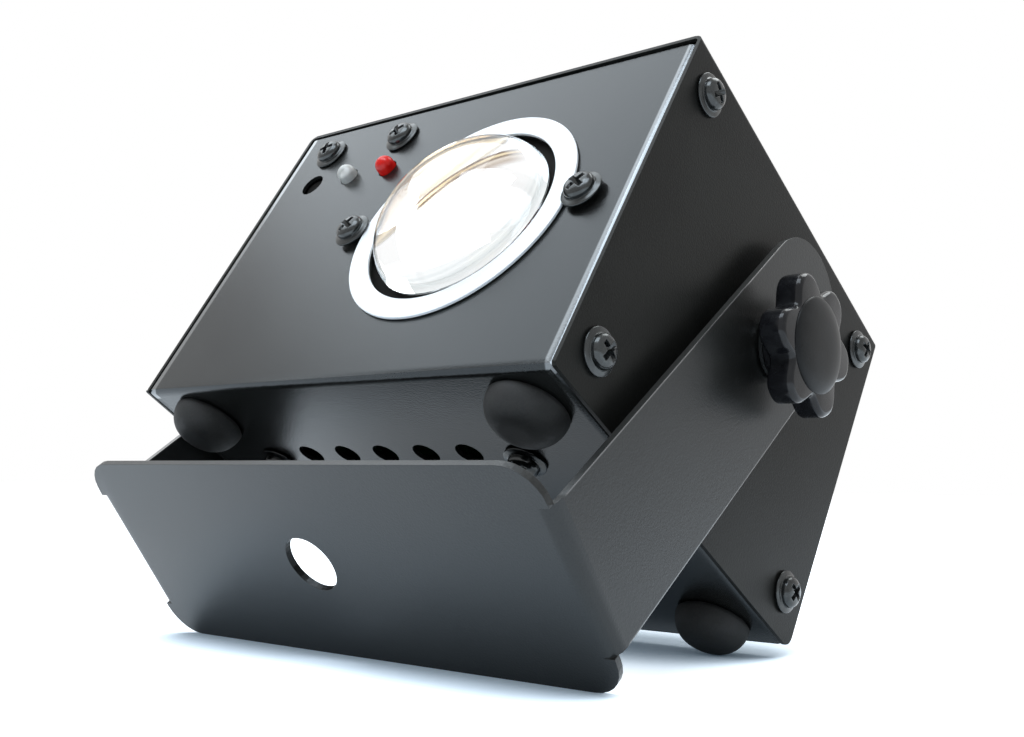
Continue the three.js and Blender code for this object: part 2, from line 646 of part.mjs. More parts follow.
function makeOptics() {
  const rearwards = axisY;
  const flangeRadius = lensRadius + lensFlangeWidth;
  const domeStartY = coverFrontY + lensSink;
  const domeSteps = 8;
  const dome = [];
  for (let i = 0; i <= domeSteps; i += 1) {
    const angle = (Math.PI / 2) * (i / domeSteps);
    dome.push([lensRadius * Math.sin(angle), domeStartY - lensDomeHeight * Math.cos(angle)]);
  }
  const lens = turned([
    ...dome,
    [lensRadius, flangeFrontY], [flangeRadius, flangeFrontY],
    [flangeRadius, flangeFrontY + lensFlangeThickness], [0, flangeFrontY + lensFlangeThickness],
  ], 42, rearwards);
  add(housing, 'lens', lens, clearGlass, lensX, 0, lensZ);

  const ringFrontY = panelY - gap - ringThickness;
  const ring = tube(ringOuterRadius, ringInnerRadius, ringFrontY, panelY - gap, 56, rearwards);
  add(housing, 'lens_ring', ring, whiteTrim, lensX, 0, lensZ);

  const lipBore = lensRadius + gap;
  const pocket = flangeRadius + gap;
  const collar = turned([
    [lipBore, holderFrontY], [holderRadius, holderFrontY],
    [holderRadius, holderFrontY + holderDepth], [pocket, holderFrontY + holderDepth],
    [pocket, holderFrontY + holderLip], [lipBore, holderFrontY + holderLip], [lipBore, holderFrontY],
  ], 36, rearwards);
  const earBackY = holderFrontY + holderEarThickness;
  const ears = bothSides.map(([, side]) => {
    const tip = (side * lensScrewSpan) / 2;
    const outline = side > 0
      ? arcPoints(tip, 0, holderEarRadius, -90, 90, 8)
      : arcPoints(tip, 0, holderEarRadius, 90, 270, 8);
    const root = (side * (pocket + holderRadius)) / 2;
    const shape = polygon([...outline, [root, side * holderEarRadius], [root, -side * holderEarRadius]]);
    return prism(shape, 'xz', holderFrontY, earBackY);
  });
  const earHoles = bothSides.map(([, side]) => prism(
    circle(screwHole, (side * lensScrewSpan) / 2, 0, 12),
    'xz',
    holderFrontY - overrun,
    earBackY + overrun,
  ));
  add(housing, 'lens_holder', cut(join(collar, ...ears), ...earHoles), mattPlastic, lensX, 0, lensZ);

  const throatY = sinkFrontY - gap - ledBoardThickness - gap;
  const rimBackY = reflectorFrontY + reflectorRim;
  const reflector = turned([
    [reflectorMouth - reflectorWall, reflectorFrontY], [flangeRadius, reflectorFrontY],
    [flangeRadius, rimBackY], [reflectorMouth, rimBackY], [reflectorThroat, throatY],
    [reflectorThroat - reflectorWall, throatY], [reflectorMouth - reflectorWall, reflectorFrontY],
  ], 32, rearwards);
  add(housing, 'reflector', reflector, mirrorCoat, lensX, 0, lensZ);

  const ledFrontY = sinkFrontY - gap - ledBoardThickness;
  const half = ledBoardSize / 2;
  const ledBoard = block([-half, ledFrontY, -half], [half, sinkFrontY - gap, half]);
  const dieBackY = ledFrontY + ledBoardThickness / 2;
  const die = prism(circle(ledDieRadius, 0, 0, 20), 'xz', ledFrontY - ledDieHeight, dieBackY);
  add(housing, 'led_module', join(ledBoard, die), yellowTape, lensX, 0, lensZ);

  const finPitch = (sinkWidth - sinkFinThickness) / (sinkFinCount - 1);
  const base = block(
    [-sinkWidth / 2, sinkFrontY, -sinkHeight / 2],
    [sinkWidth / 2, sinkFrontY + sinkBase, sinkHeight / 2],
  );
  const fins = spread(sinkFinCount, finPitch).map((x) => block(
    [x - sinkFinThickness / 2, sinkFrontY + sinkBase / 2, -sinkHeight / 2],
    [x + sinkFinThickness / 2, sinkFrontY + sinkBase + sinkFinHeight, sinkHeight / 2],
  ));
  const studHoles = bothSides.map(([, side]) => prism(
    circle(postStudRadius + gap, (side * lensScrewSpan) / 2, 0, 12),
    'xz',
    sinkFrontY - overrun,
    sinkFrontY + sinkBase + overrun,
  ));
  add(housing, 'heat_sink', cut(join(base, ...fins), ...studHoles), bareAluminium, lensX, 0, lensZ);

  for (const [name, side] of bothSides) {
    const boreEnd = postFrontY + lensScrewReach + gap;
    const shoulder = postFrontY + postLength;
    const post = turned([
      [screwHole, postFrontY], [postRadius, postFrontY], [postRadius, shoulder],
      [postStudRadius, shoulder], [postStudRadius, sinkFrontY + sinkBase],
      [0, sinkFrontY + sinkBase], [0, boreEnd], [screwHole, boreEnd], [screwHole, postFrontY],
    ], 12, rearwards);
    add(housing, `heat_sink_post_${name}`, post, zincSteel, lensX + (side * lensScrewSpan) / 2, 0, lensZ);
  }
}

// Indicator board

const controlBoardY = panelBackY + gap + controlBoardStandOff + gap;

function makeControlBoard() {
  const indicatorMiddle = (microphoneX + powerLedX) / 2;
  const low = [indicatorMiddle - controlBoardWidth / 2, boardScrewZ + spacerPostRadius - controlBoardHeight];
  const high = [indicatorMiddle + controlBoardWidth / 2, boardScrewZ + spacerPostRadius];
  const boardBackY = controlBoardY + circuitBoardThickness;
  const blank = prism(cornered(low, high, [0, 0, 0, 0]), 'xz', controlBoardY, boardBackY);
  const holes = bothSides.map(([, side]) => prism(
    circle(screwHole, boardScrewX + (side * boardScrewSpan) / 2, boardScrewZ, 12),
    'xz',
    controlBoardY - overrun,
    boardBackY + overrun,
  ));
  add(housing, 'control_board', cut(blank, ...holes), circuitGreen);
  for (const [name, side] of bothSides) {
    const post = tube(spacerPostRadius, screwHole, panelBackY + gap, controlBoardY - gap, 10, axisY);
    const x = boardScrewX + (side * boardScrewSpan) / 2;
    add(housing, `control_board_post_${name}`, post, zincSteel, x, 0, boardScrewZ);
  }

  const seatY = controlBoardY - gap;
  const capsule = turned([
    [0, panelBackY + gap], [microphoneRadius, panelBackY + gap], [microphoneRadius, seatY], [0, seatY],
  ], 16, axisY);
  add(housing, 'microphone', capsule, darkCore, microphoneX, 0, indicatorZ);

  const tipY = panelY - indicatorStandOut;
  const flangeY = seatY - indicatorFlangeHeight;
  const domeSteps = 4;
  const dome = [];
  for (let i = 0; i <= domeSteps; i += 1) {
    const angle = (Math.PI / 2) * (i / domeSteps);
    dome.push([indicatorRadius * Math.sin(angle), tipY + indicatorRadius * (1 - Math.cos(angle))]);
  }
  const indicator = turned([
    ...dome, [indicatorRadius, flangeY], [indicatorRadius + indicatorFlange, flangeY],
    [indicatorRadius + indicatorFlange, seatY], [0, seatY],
  ], 14, axisY);
  add(housing, 'signal_led', indicator, clearLens, signalLedX, 0, indicatorZ);
  add(housing, 'power_led', indicator.clone(), redLens, powerLedX, 0, indicatorZ);
}

// Mains driver

function makeDriver() {
  const postTopZ = floorZ + sheetWall + gap + driverStandOff;
  const boardZ = postTopZ + gap;
  const boardTopZ = boardZ + circuitBoardThickness;
  const halfX = driverBoardWidth / 2;
  const halfY = driverBoardDepth / 2;
  const holes = [];
  for (const [name, side] of bothSides) {
    for (const [rowName, row] of [['front', -1], ['rear', 1]]) {
      const x = floorX + (side * floorScrewSpanX) / 2;
      const y = (row * floorScrewSpanY) / 2;
      holes.push(prism(circle(screwHole, x, y, 12), 'xy', boardZ - overrun, boardTopZ + overrun));
      const post = tube(spacerPostRadius, screwHole, floorZ + sheetWall + gap, postTopZ, 10);
      add(housing, `driver_post_${name}_${rowName}`, post, zincSteel, x, y);
    }
  }
  const board = block([floorX - halfX, -halfY, boardZ], [floorX + halfX, halfY, boardTopZ]);
  add(housing, 'driver_board', cut(board, ...holes), circuitGreen);

  const seatZ = boardTopZ + gap;
  const core = block(
    [-transformerWidth / 2, -transformerDepth / 4, seatZ],
    [transformerWidth / 2, transformerDepth / 4, seatZ + transformerHeight],
  );
  const winding = prism(
    cornered(
      [-windingWidth / 2, -transformerDepth / 2],
      [windingWidth / 2, transformerDepth / 2],
      [windingWidth / 4, windingWidth / 4, windingWidth / 4, windingWidth / 4],
    ),
    'xy',
    seatZ + transformerHeight / 6,
    seatZ + (transformerHeight * 5) / 6,
  );
  add(housing, 'driver_transformer', join(core, winding), darkCore, transformerX, componentY);
  const canTopZ = seatZ + capacitorHeight;
  const can = turned([
    [0, seatZ], [capacitorRadius, seatZ], [capacitorRadius, canTopZ], [0, canTopZ],
  ], 20);
  add(housing, 'driver_capacitor', can, mattPlastic, capacitorX, componentY);
}

// Feet with a moulded stem through the floor

function makeFeet() {
  const domeSteps = 5;
  const dome = [];
  for (let i = 0; i <= domeSteps; i += 1) {
    const angle = (Math.PI / 2) * (1 - i / domeSteps);
    dome.push([
      footFlat + (footRadius - footFlat) * Math.cos(angle),
      -footHeight * Math.sin(angle),
    ]);
  }
  const foot = turned([
    [0, -footHeight], ...dome, [footStemRadius, 0], [footStemRadius, footStemLength], [0, footStemLength],
  ], 18);
  for (const [name, side] of bothSides) {
    for (const [rowName, row] of [['front', -1], ['rear', 1]]) {
      add(
        housing, `foot_${name}_${rowName}`, foot.clone(), blackRubber,
        (side * footSpanX) / 2, (row * footSpanY) / 2, floorZ - gap,
      );
    }
  }
}

// Rear panel

function makeInlet() {
  const seatY = rearPanelY + gap;
  const faceY = seatY + inletFlangeThickness;
  const halfWidth = inletFlangeWidth / 2;
  const halfHeight = inletFlangeHeight / 2;
  const corner = inletWall;
  const flange = prism(cornered(
    [inletX - halfWidth, inletZ - halfHeight],
    [inletX + halfWidth, inletZ + halfHeight],
    [corner, corner, corner, corner],
    3,
  ), 'xz', seatY, faceY);
  const body = prism(inletOutline(0), 'xz', faceY - inletBodyDepth, faceY - inletFlangeThickness / 2);
  const socket = prism(inletOutline(-inletWall), 'xz', faceY - inletSocketDepth, faceY + overrun);
  const pinPlaces = [
    [-inletPinSpan / 2, -inletPinOffset],
    [inletPinSpan / 2, -inletPinOffset],
    [0, inletPinOffset],
  ];
  const pinRootY = faceY - inletSocketDepth - inletWall;
  const pins = pinPlaces.map(([x, z]) => block(
    [inletX + x - inletPinThickness / 2, pinRootY, inletZ + z - inletPinWidth / 2],
    [inletX + x + inletPinThickness / 2, faceY - inletPinRecess, inletZ + z + inletPinWidth / 2],
  ));
  add(housing, 'power_inlet', join(cut(join(flange, body), socket), ...pins), mattPlastic);
}

function makeSpeedControl() {
  const wallY = -panelBackY - gap; // inner face of the rear panel
  const bushEnd = rearPanelY + speedBushLength;
  const shaftEnd = bushEnd + gap + speedKnobHeight - speedKnobRoof - gap;
  const shaftBore = speedShaftRadius + gap;
  const body = turned([
    [0, wallY - speedBodyDepth], [speedBodyRadius, wallY - speedBodyDepth], [speedBodyRadius, wallY],
    [speedBushRadius, wallY], [speedBushRadius, bushEnd], [shaftBore, bushEnd],
    [shaftBore, wallY - speedShaftSink - gap], [0, wallY - speedShaftSink - gap],
  ], 16, axisY);
  add(housing, 'speed_potentiometer', body, zincSteel, speedX, 0, speedZ);
  const shaft = turned([
    [0, wallY - speedShaftSink], [speedShaftRadius, wallY - speedShaftSink],
    [speedShaftRadius, shaftEnd], [0, shaftEnd],
  ], 14, axisY);
  add(housing, 'speed_shaft', shaft, bareAluminium, speedX, 0, speedZ);

  const knobStart = bushEnd + gap;
  const ribbed = (radius) => {
    const points = [];
    for (let i = 0; i < speedKnobRibs * 2; i += 1) {
      const angle = (Math.PI * i) / speedKnobRibs;
      const reach = radius - (i % 2) * speedKnobRibDepth;
      points.push([reach * Math.cos(angle), reach * Math.sin(angle)]);
    }
    return polygon(points);
  };
  const skirtHeight = speedKnobHeight / 3;
  const skirt = turned([
    [0, knobStart], [speedKnobRadius, knobStart], [speedKnobRadius, knobStart + skirtHeight / 2],
    [speedKnobTopRadius, knobStart + skirtHeight], [0, knobStart + skirtHeight],
  ], 36, axisY);
  const topY = knobStart + speedKnobHeight;
  const grip = prism(ribbed(speedKnobTopRadius), 'xz', knobStart + skirtHeight / 2, topY);
  const bore = prism(circle(shaftBore), 'xz', knobStart - overrun, shaftEnd + gap);
  const pointer = block(
    [-pointerWidth / 2, topY - pointerDepth, 0],
    [pointerWidth / 2, topY + overrun, speedKnobTopRadius + overrun],
  );
  add(housing, 'speed_knob', cut(join(skirt, grip), bore, pointer), mattPlastic, speedX, 0, speedZ);
}

makeCover();
makeChassis();
makeBracket();
makeClamps();
makeScrews();
makeOptics();
makeControlBoard();
makeDriver();
makeFeet();
makeInlet();
makeSpeedControl();

// Stance: the rear feet's rims and the plate's lower edge stand on the floor. The foot reaches
// its flat radius plus an ellipse past the point under its middle, along the floor's normal.
const tilt = THREE.MathUtils.degToRad(housingTiltDegrees);
const footReach = footFlat * Math.sin(tilt)
  + Math.hypot((footRadius - footFlat) * Math.sin(tilt), footHeight * Math.cos(tilt));
const footBehind = footSpanY / 2 - pivotY;
const footBelow = pivotZ - floorZ + gap;
const pivotHeight = footBehind * Math.sin(tilt) + footBelow * Math.cos(tilt) + footReach;
const plateDiagonal = Math.hypot(plateReach, plateHeight / 2);
const armDrop = Math.asin(pivotHeight / plateDiagonal) - Math.atan2(plateHeight / 2, plateReach);

tilting.rotation.x = -tilt;
bracketArm.rotation.x = armDrop - Math.PI / 2;

const strobeLight = new THREE.Group();
strobeLight.add(tilting, bracketArm);
strobeLight.position.z = pivotHeight;
const extent = new THREE.Box3().setFromObject(strobeLight, true);
strobeLight.position.y = -(extent.min.y + extent.max.y) / 2;
strobeLight.updateMatrixWorld(true);

export default strobeLight;
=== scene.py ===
# Compact LED strobe light in its U bracket: finishes, fine shapes, floor, light and camera
import json
import math

import bmesh
import bpy
from mathutils import Euler, Matrix, Vector


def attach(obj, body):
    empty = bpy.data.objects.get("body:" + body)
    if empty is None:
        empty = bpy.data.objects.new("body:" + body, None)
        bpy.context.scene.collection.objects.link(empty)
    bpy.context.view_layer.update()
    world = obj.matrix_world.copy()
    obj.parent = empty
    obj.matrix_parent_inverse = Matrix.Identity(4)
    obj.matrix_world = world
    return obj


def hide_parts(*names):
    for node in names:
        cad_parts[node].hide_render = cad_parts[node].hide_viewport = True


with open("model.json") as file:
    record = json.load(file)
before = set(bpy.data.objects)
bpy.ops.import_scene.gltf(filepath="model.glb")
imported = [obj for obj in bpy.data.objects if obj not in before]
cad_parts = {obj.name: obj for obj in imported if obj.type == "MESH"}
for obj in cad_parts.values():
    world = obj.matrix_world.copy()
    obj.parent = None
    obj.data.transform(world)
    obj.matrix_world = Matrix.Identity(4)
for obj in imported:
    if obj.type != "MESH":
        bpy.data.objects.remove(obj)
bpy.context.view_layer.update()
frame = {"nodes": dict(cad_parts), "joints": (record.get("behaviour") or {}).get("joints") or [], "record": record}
record = frame["record"]
scene = bpy.context.scene
mm = 0.001
bodyOf = {}
for bodyName, members in record["behaviour"]["bodies"].items():
    for member in members:
        bodyOf[member] = bodyName

# Frame of the housing in millimetres: x to the right as seen from the front, y to the rear
jointOf = {joint["name"]: joint for joint in frame["joints"]}
mountOf = {mount["name"]: mount for mount in record["mounts"]}
pivotOffset = 0.5  # pivot axis from the housing's middle, to the rear and up, mm
pivot = Vector(jointOf["housing_tilt"]["pos_m"])
sideways = Vector((1, 0, 0))
rearwards = Vector(jointOf["speed_turn"]["axis"])
upwards = sideways.cross(rearwards)
housingTurn = Matrix((rearwards.cross(upwards), rearwards, upwards)).transposed().to_4x4()
housingMiddle = pivot - (rearwards + upwards) * pivotOffset * mm
housing = Matrix.Translation(housingMiddle) @ housingTurn @ Matrix.Scale(mm, 4)
armsUp = -Vector(mountOf["bracket_plate_face"]["axis"])

# Local frames with z along a piece's own axis
facingFront = Euler((math.pi / 2, 0, 0)).to_matrix().to_4x4()
facingRear = Euler((-math.pi / 2, 0, 0)).to_matrix().to_4x4()
facingDown = Euler((math.pi, 0, 0)).to_matrix().to_4x4()


def facingSide(side):
    return Euler((0, side * math.pi / 2, 0)).to_matrix().to_4x4()


def at(x, y, z):
    return Matrix.Translation((x, y, z))


# Materials

# Spans of the noise over which a finish changes: one noise alone, and a broad and a fine one summed
singleSpan, summedSpan = (0.35, 0.65), (0.55, 0.95)
broadDetail, fineDetail, fineShare = 3.0, 2.0, 0.5
coatRoughness = 0.08


def newMaterial(name):
    material = bpy.data.materials.new(name)
    material.use_nodes = True
    nodes = material.node_tree.nodes
    nodes.clear()
    output = nodes.new("ShaderNodeOutputMaterial")
    surface = nodes.new("ShaderNodeBsdfPrincipled")
    material.node_tree.links.new(surface.outputs["BSDF"], output.inputs["Surface"])
    return material, surface


def principledOf(material):
    return [node for node in material.node_tree.nodes if node.type == "BSDF_PRINCIPLED"][0]


def setInputs(node, values):
    for label, value in values.items():
        node.inputs[label].default_value = value


def linkTo(material, outSocket, inSocket):
    material.node_tree.links.new(outSocket, inSocket)


def noiseAt(material, size, detail, stretch=(1, 1, 1)):
    # size is the grain in millimetres
    nodes = material.node_tree.nodes
    coordinates = nodes.new("ShaderNodeTexCoord")
    mapping = nodes.new("ShaderNodeMapping")
    mapping.inputs["Scale"].default_value = stretch
    noise = nodes.new("ShaderNodeTexNoise")
    setInputs(noise, {"Scale": 1 / (size * mm), "Detail": detail})
    linkTo(material, coordinates.outputs["Object"], mapping.inputs["Vector"])
    linkTo(material, mapping.outputs["Vector"], noise.inputs["Vector"])
    return noise.outputs["Fac"]


def spreadBetween(material, factor, low, high, span=singleSpan):
    remap = material.node_tree.nodes.new("ShaderNodeMapRange")
    setInputs(remap, {"From Min": span[0], "From Max": span[1], "To Min": low, "To Max": high})
    linkTo(material, factor, remap.inputs["Value"])
    return remap.outputs["Result"]


def rampOf(material, factor, stops):
    # a colour ramp; stops are positions with their colours
    node = material.node_tree.nodes.new("ShaderNodeValToRGB")
    elements = node.color_ramp.elements
    for element, (position, colour) in zip(elements, (stops[0], stops[-1])):
        element.position = position
        element.color = (*colour, 1)
    for position, colour in stops[1:-1]:
        elements.new(position).color = (*colour, 1)
    linkTo(material, factor, node.inputs["Fac"])
    return node.outputs["Color"]


def colourBetween(material, factor, low, high):
    return rampOf(material, factor, list(zip(singleSpan, (low, high))))


def bumpFrom(material, surface, height, depth):
    # depth is the relief in millimetres
    bump = material.node_tree.nodes.new("ShaderNodeBump")
    setInputs(bump, {"Distance": depth * mm, "Strength": 1})
    linkTo(material, height, bump.inputs["Height"])
    linkTo(material, bump.outputs["Normal"], surface.inputs["Normal"])


def mathOf(tree, operation, *values):
    # a math node on sockets and plain numbers
    node = tree.nodes.new("ShaderNodeMath")
    node.operation = operation
    for socket, value in zip(node.inputs, values):
        if isinstance(value, (int, float)):
            socket.default_value = value
        else:
            tree.links.new(value, socket)
    return node.outputs["Value"]


def vectorOf(tree, operation, given, fixed=(0, 0, 0), out="Vector"):
    # a vector math node on one socket and one fixed vector
    node = tree.nodes.new("ShaderNodeVectorMath")
    node.operation = operation
    node.inputs[1].default_value = fixed
    tree.links.new(given, node.inputs[0])
    return node.outputs[out]


def plainFinish(name, finish):
    material, surface = newMaterial(name)
    setInputs(surface, {
        "Metallic": finish.get("metallic", 0),
        "Specular IOR Level": finish.get("specular", 0.5),
        "Specular Tint": (*finish.get("tint", (1, 1, 1)), 1),
        "IOR": 1.5,
        "Coat Roughness": coatRoughness,
    })
    stretch = finish.get("stretch", (1, 1, 1))
    broad = noiseAt(material, finish["patch"], broadDetail, stretch)
    fine = noiseAt(material, finish["grain"], fineDetail, stretch)
    both = mathOf(material.node_tree, "MULTIPLY_ADD", fine, fineShare, broad)
    low, high = finish["colours"]
    tone = colourBetween(material, spreadBetween(material, both, 0, 1, summedSpan), low, high)
    linkTo(material, tone, surface.inputs["Base Color"])
    rough = spreadBetween(material, both, *finish["roughness"], summedSpan)
    linkTo(material, rough, surface.inputs["Roughness"])
    bumpFrom(material, surface, fine, finish["relief"])
    return material


def powderCoat(name, sheen, tint, roughness):
    return plainFinish(name, {
        "colours": [(0.0080, 0.0080, 0.0073), (0.0125, 0.0124, 0.0112)],
        "roughness": roughness,
        "specular": sheen,
        "tint": tint,
        "patch": 40,
        "grain": 0.42,
        "relief": 0.04,
    })


# One powder coat in three lit and shaded copies. The cover's has little sheen and a warm tint: painted shade that
# keeps its sides dark. The front panel's and the bracket's have more sheen and a bluish tint: painted sheen.
shadedCoverCoat = powderCoat("coverPowderCoatPaintedShade", 0.085, (1.0, 0.98, 0.92), (0.30, 0.35))
sheenedPanelCoat = powderCoat("panelPowderCoatPaintedSheen", 0.29, (0.84, 0.93, 1.0), (0.19, 0.24))
sheenedBracketCoat = powderCoat("bracketPowderCoatPaintedSheen", 0.34, (0.93, 0.97, 1.0), (0.30, 0.35))


def shareAlong(material, axis, span, shares=(0, 1), bothWays=False):
    # goes from one share to the other over a span along an axis, in mm from the pivot
    tree = material.node_tree
    place = tree.nodes.new("ShaderNodeTexCoord").outputs["Object"]
    distance = vectorOf(tree, "DOT_PRODUCT", vectorOf(tree, "SUBTRACT", place, pivot), axis, "Value")
    if bothWays:
        distance = mathOf(tree, "ABSOLUTE", distance)
    return spreadBetween(material, distance, *shares, (span[0] * mm, span[1] * mm))


def paintedSheenWhere(material, gloss, first, second):
    # shinier where both shares are 1: painted sheen, raised in bands so that the lamps draw highlight lines along
    # them
    both = mathOf(material.node_tree, "MULTIPLY", first, second)
    surface = principledOf(material)
    for socket, value in (("Specular IOR Level", gloss["sheen"]), ("Coat Weight", gloss["coat"])):
        flat = surface.inputs[socket].default_value
        linkTo(material, spreadBetween(material, both, flat, value, (0, 1)), surface.inputs[socket])


# Painted sheen: shinier bands along the front panel's bends at both sides, and along the long edges of the
# bracket's arms, for their highlight lines
panelBend = {"sideways": (61.5, 61.9), "rearwards": (-50.5, -50.0), "sheen": 1.0, "coat": 0.85}
armEdge = {"across": (16.45, 16.65), "up": (-79.5, -78.5), "sheen": 1.0, "coat": 1.0}
paintedSheenWhere(
    sheenedPanelCoat, panelBend,
    shareAlong(sheenedPanelCoat, sideways, panelBend["sideways"], bothWays=True),
    shareAlong(sheenedPanelCoat, rearwards, panelBend["rearwards"], (1, 0)),
)
paintedSheenWhere(
    sheenedBracketCoat, armEdge,
    shareAlong(sheenedBracketCoat, armsUp.cross(sideways), armEdge["across"], bothWays=True),
    shareAlong(sheenedBracketCoat, armsUp, armEdge["up"]),
)
screwBlack = plainFinish("blackScrewFinish", {
    "colours": [(0.040, 0.042, 0.042), (0.052, 0.055, 0.055)],
    "roughness": (0.17, 0.22),
    "metallic": 0.75,
    "specular": 0.4,
    "patch": 3,
    "grain": 0.7,
    "relief": 0.0025,
})
glossPlastic = plainFinish("glossyKnobPlastic", {
    "colours": [(0.007, 0.007, 0.008), (0.011, 0.011, 0.012)],
    "roughness": (0.12, 0.18),
    "specular": 0.24,
    "patch": 7,
    "grain": 1.6,
    "relief": 0.006,
})
satinPlastic = plainFinish("satinDiscPlastic", {
    "colours": [(0.009, 0.009, 0.009), (0.013, 0.013, 0.013)],
    "roughness": (0.28, 0.34),
    "specular": 0.10,
    "patch": 6,
    "grain": 0.3,
    "relief": 0.010,
})
mattPlastic = plainFinish("mattBlackPlastic", {
    "colours": [(0.010, 0.010, 0.010), (0.016, 0.016, 0.016)],
    "roughness": (0.48, 0.62),
    "specular": 0.25,
    "patch": 5,
    "grain": 0.3,
    "relief": 0.02,
})
# Painted shade: the darkest black with almost no sheen, for the lens holder and the microphone, so the gap round
# the lens and the microphone's hole read as shade
shadeBlack = plainFinish("shadeBlackPlastic", {
    "colours": [(0.005, 0.0045, 0.004), (0.009, 0.008, 0.007)],
    "roughness": (0.55, 0.7),
    "specular": 0.04,
    "patch": 5,
    "grain": 0.3,
    "relief": 0.01,
})
rubber = plainFinish("blackRubber", {
    "colours": [(0.010, 0.010, 0.010), (0.018, 0.018, 0.017)],
    "roughness": (0.60, 0.78),
    "specular": 0.35,
    "patch": 4,
    "grain": 0.5,
    "relief": 0.03,
})
whiteTrim = plainFinish("whiteRingPlastic", {
    "colours": [(0.93, 0.92, 0.91), (0.97, 0.96, 0.95)],
    "roughness": (0.32, 0.42),
    "patch": 8,
    "grain": 0.5,
    "relief": 0.008,
})
zinc = plainFinish("zincPlatedSteel", {
    "colours": [(0.42, 0.43, 0.45), (0.60, 0.61, 0.62)],
    "roughness": (0.22, 0.38),
    "metallic": 1.0,
    "patch": 2,
    "grain": 0.3,
    "relief": 0.01,
})
aluminium = plainFinish("milledAluminium", {
    "colours": [(0.60, 0.61, 0.62), (0.74, 0.75, 0.76)],
    "roughness": (0.25, 0.42),
    "metallic": 1.0,
    "patch": 4,
    "grain": 0.4,
    "stretch": (1, 1, 6),
    "relief": 0.02,
})
solderMask = plainFinish("greenSolderMask", {
    "colours": [(0.012, 0.075, 0.030), (0.025, 0.125, 0.050)],
    "roughness": (0.25, 0.40),
    "patch": 2.5,
    "grain": 0.6,
    "relief": 0.03,
})
darkCore = plainFinish("darkFerrite", {
    "colours": [(0.030, 0.030, 0.032), (0.055, 0.055, 0.058)],
    "roughness": (0.55, 0.75),
    "patch": 3,
    "grain": 0.25,
    "relief": 0.03,
})
phosphor = plainFinish("ledPhosphor", {
    "colours": [(0.78, 0.55, 0.10), (0.88, 0.66, 0.18)],
    "roughness": (0.35, 0.5),
    "patch": 3,
    "grain": 0.4,
    "relief": 0.01,
})
ledBoardWhite = plainFinish("whiteLedBoard", {
    "colours": [(0.70, 0.70, 0.67), (0.80, 0.80, 0.77)],
    "roughness": (0.35, 0.5),
    "patch": 4,
    "grain": 0.5,
    "relief": 0.01,
})


def paintedReflectionRings(material, tint):
    # multiplies the colour by rings round an axis from front to rear, for painted reflections; stops are radii in
    # mm, and reach is a point with the distances from it at which the rings start to fade and are gone
    tree, nodes = material.node_tree, material.node_tree.nodes
    surface = principledOf(material)
    place = nodes.new("ShaderNodeTexCoord").outputs["Object"]
    fromCentre = vectorOf(tree, "SUBTRACT", place, housing @ Vector(tint["centre"]))
    across = vectorOf(tree, "CROSS_PRODUCT", fromCentre, rearwards)
    distance = vectorOf(tree, "LENGTH", across, out="Value")
    stops = tint["stops"]
    low, high = stops[0][0], stops[-1][0]
    share = spreadBetween(material, distance, 0, 1, (low * mm, high * mm))
    rings = rampOf(material, share, [((radius - low) / (high - low), colour) for radius, colour in stops])
    mix = nodes.new("ShaderNodeMix")
    mix.data_type = "RGBA"
    mix.blend_type = "MULTIPLY"
    mix.inputs["Factor"].default_value = 1
    colourIn = [socket for socket in mix.inputs if socket.type == "RGBA"]
    colourOut = [socket for socket in mix.outputs if socket.type == "RGBA"][0]
    given = surface.inputs["Base Color"].links[0].from_socket
    linkTo(material, given, colourIn[0])
    linkTo(material, rings, colourIn[1])
    linkTo(material, colourOut, surface.inputs["Base Color"])
    if "reach" in tint:
        middle, full, gone = tint["reach"]
        away = vectorOf(tree, "DISTANCE", place, housing @ Vector(middle), "Value")
        fading = spreadBetween(material, away, 1, 0, (full * mm, gone * mm))
        linkTo(material, fading, mix.inputs["Factor"])


def clearFinish(name, finish):
    material, surface = newMaterial(name)
    setInputs(surface, {
        "Transmission Weight": finish["transmission"],
        "Specular IOR Level": finish.get("specular", 0.5),
        "IOR": finish["ior"],
    })
    patches = noiseAt(material, finish["patch"], broadDetail)
    low, high = finish["colours"]
    linkTo(material, colourBetween(material, patches, low, high), surface.inputs["Base Color"])
    rough = spreadBetween(material, patches, *finish["roughness"])
    linkTo(material, rough, surface.inputs["Roughness"])
    bumpFrom(material, surface, patches, finish["relief"])
    return material


clearLens = clearFinish("clearLensPlastic", {
    "colours": [(0.97, 0.98, 0.98), (1.0, 1.0, 1.0)],
    "roughness": (0.0, 0.02),
    "transmission": 1.0,
    "ior": 1.49,
    "patch": 6,
    "relief": 0.004,
})
clearResin = clearFinish("clearLedResin", {
    "colours": [(0.90, 0.88, 0.82), (1.0, 0.98, 0.93)],
    "roughness": (0.03, 0.10),
    "transmission": 0.55,
    "ior": 1.5,
    "patch": 2,
    "relief": 0.006,
})
redResin = clearFinish("redLedResin", {
    "colours": [(0.74, 0.004, 0.002), (0.86, 0.010, 0.005)],
    "roughness": (0.05, 0.12),
    "specular": 0.2,
    "transmission": 0.12,
    "ior": 1.5,
    "patch": 2,
    "relief": 0.006,
})
mirrorCoat = plainFinish("mirrorCoat", {
    "colours": [(0.90, 0.91, 0.92), (0.95, 0.95, 0.96)],
    "roughness": (0.04, 0.10),
    "metallic": 1.0,
    "patch": 5,
    "grain": 1.2,
    "relief": 0.01,
})
lensAxis = (17, 0, 0.2)
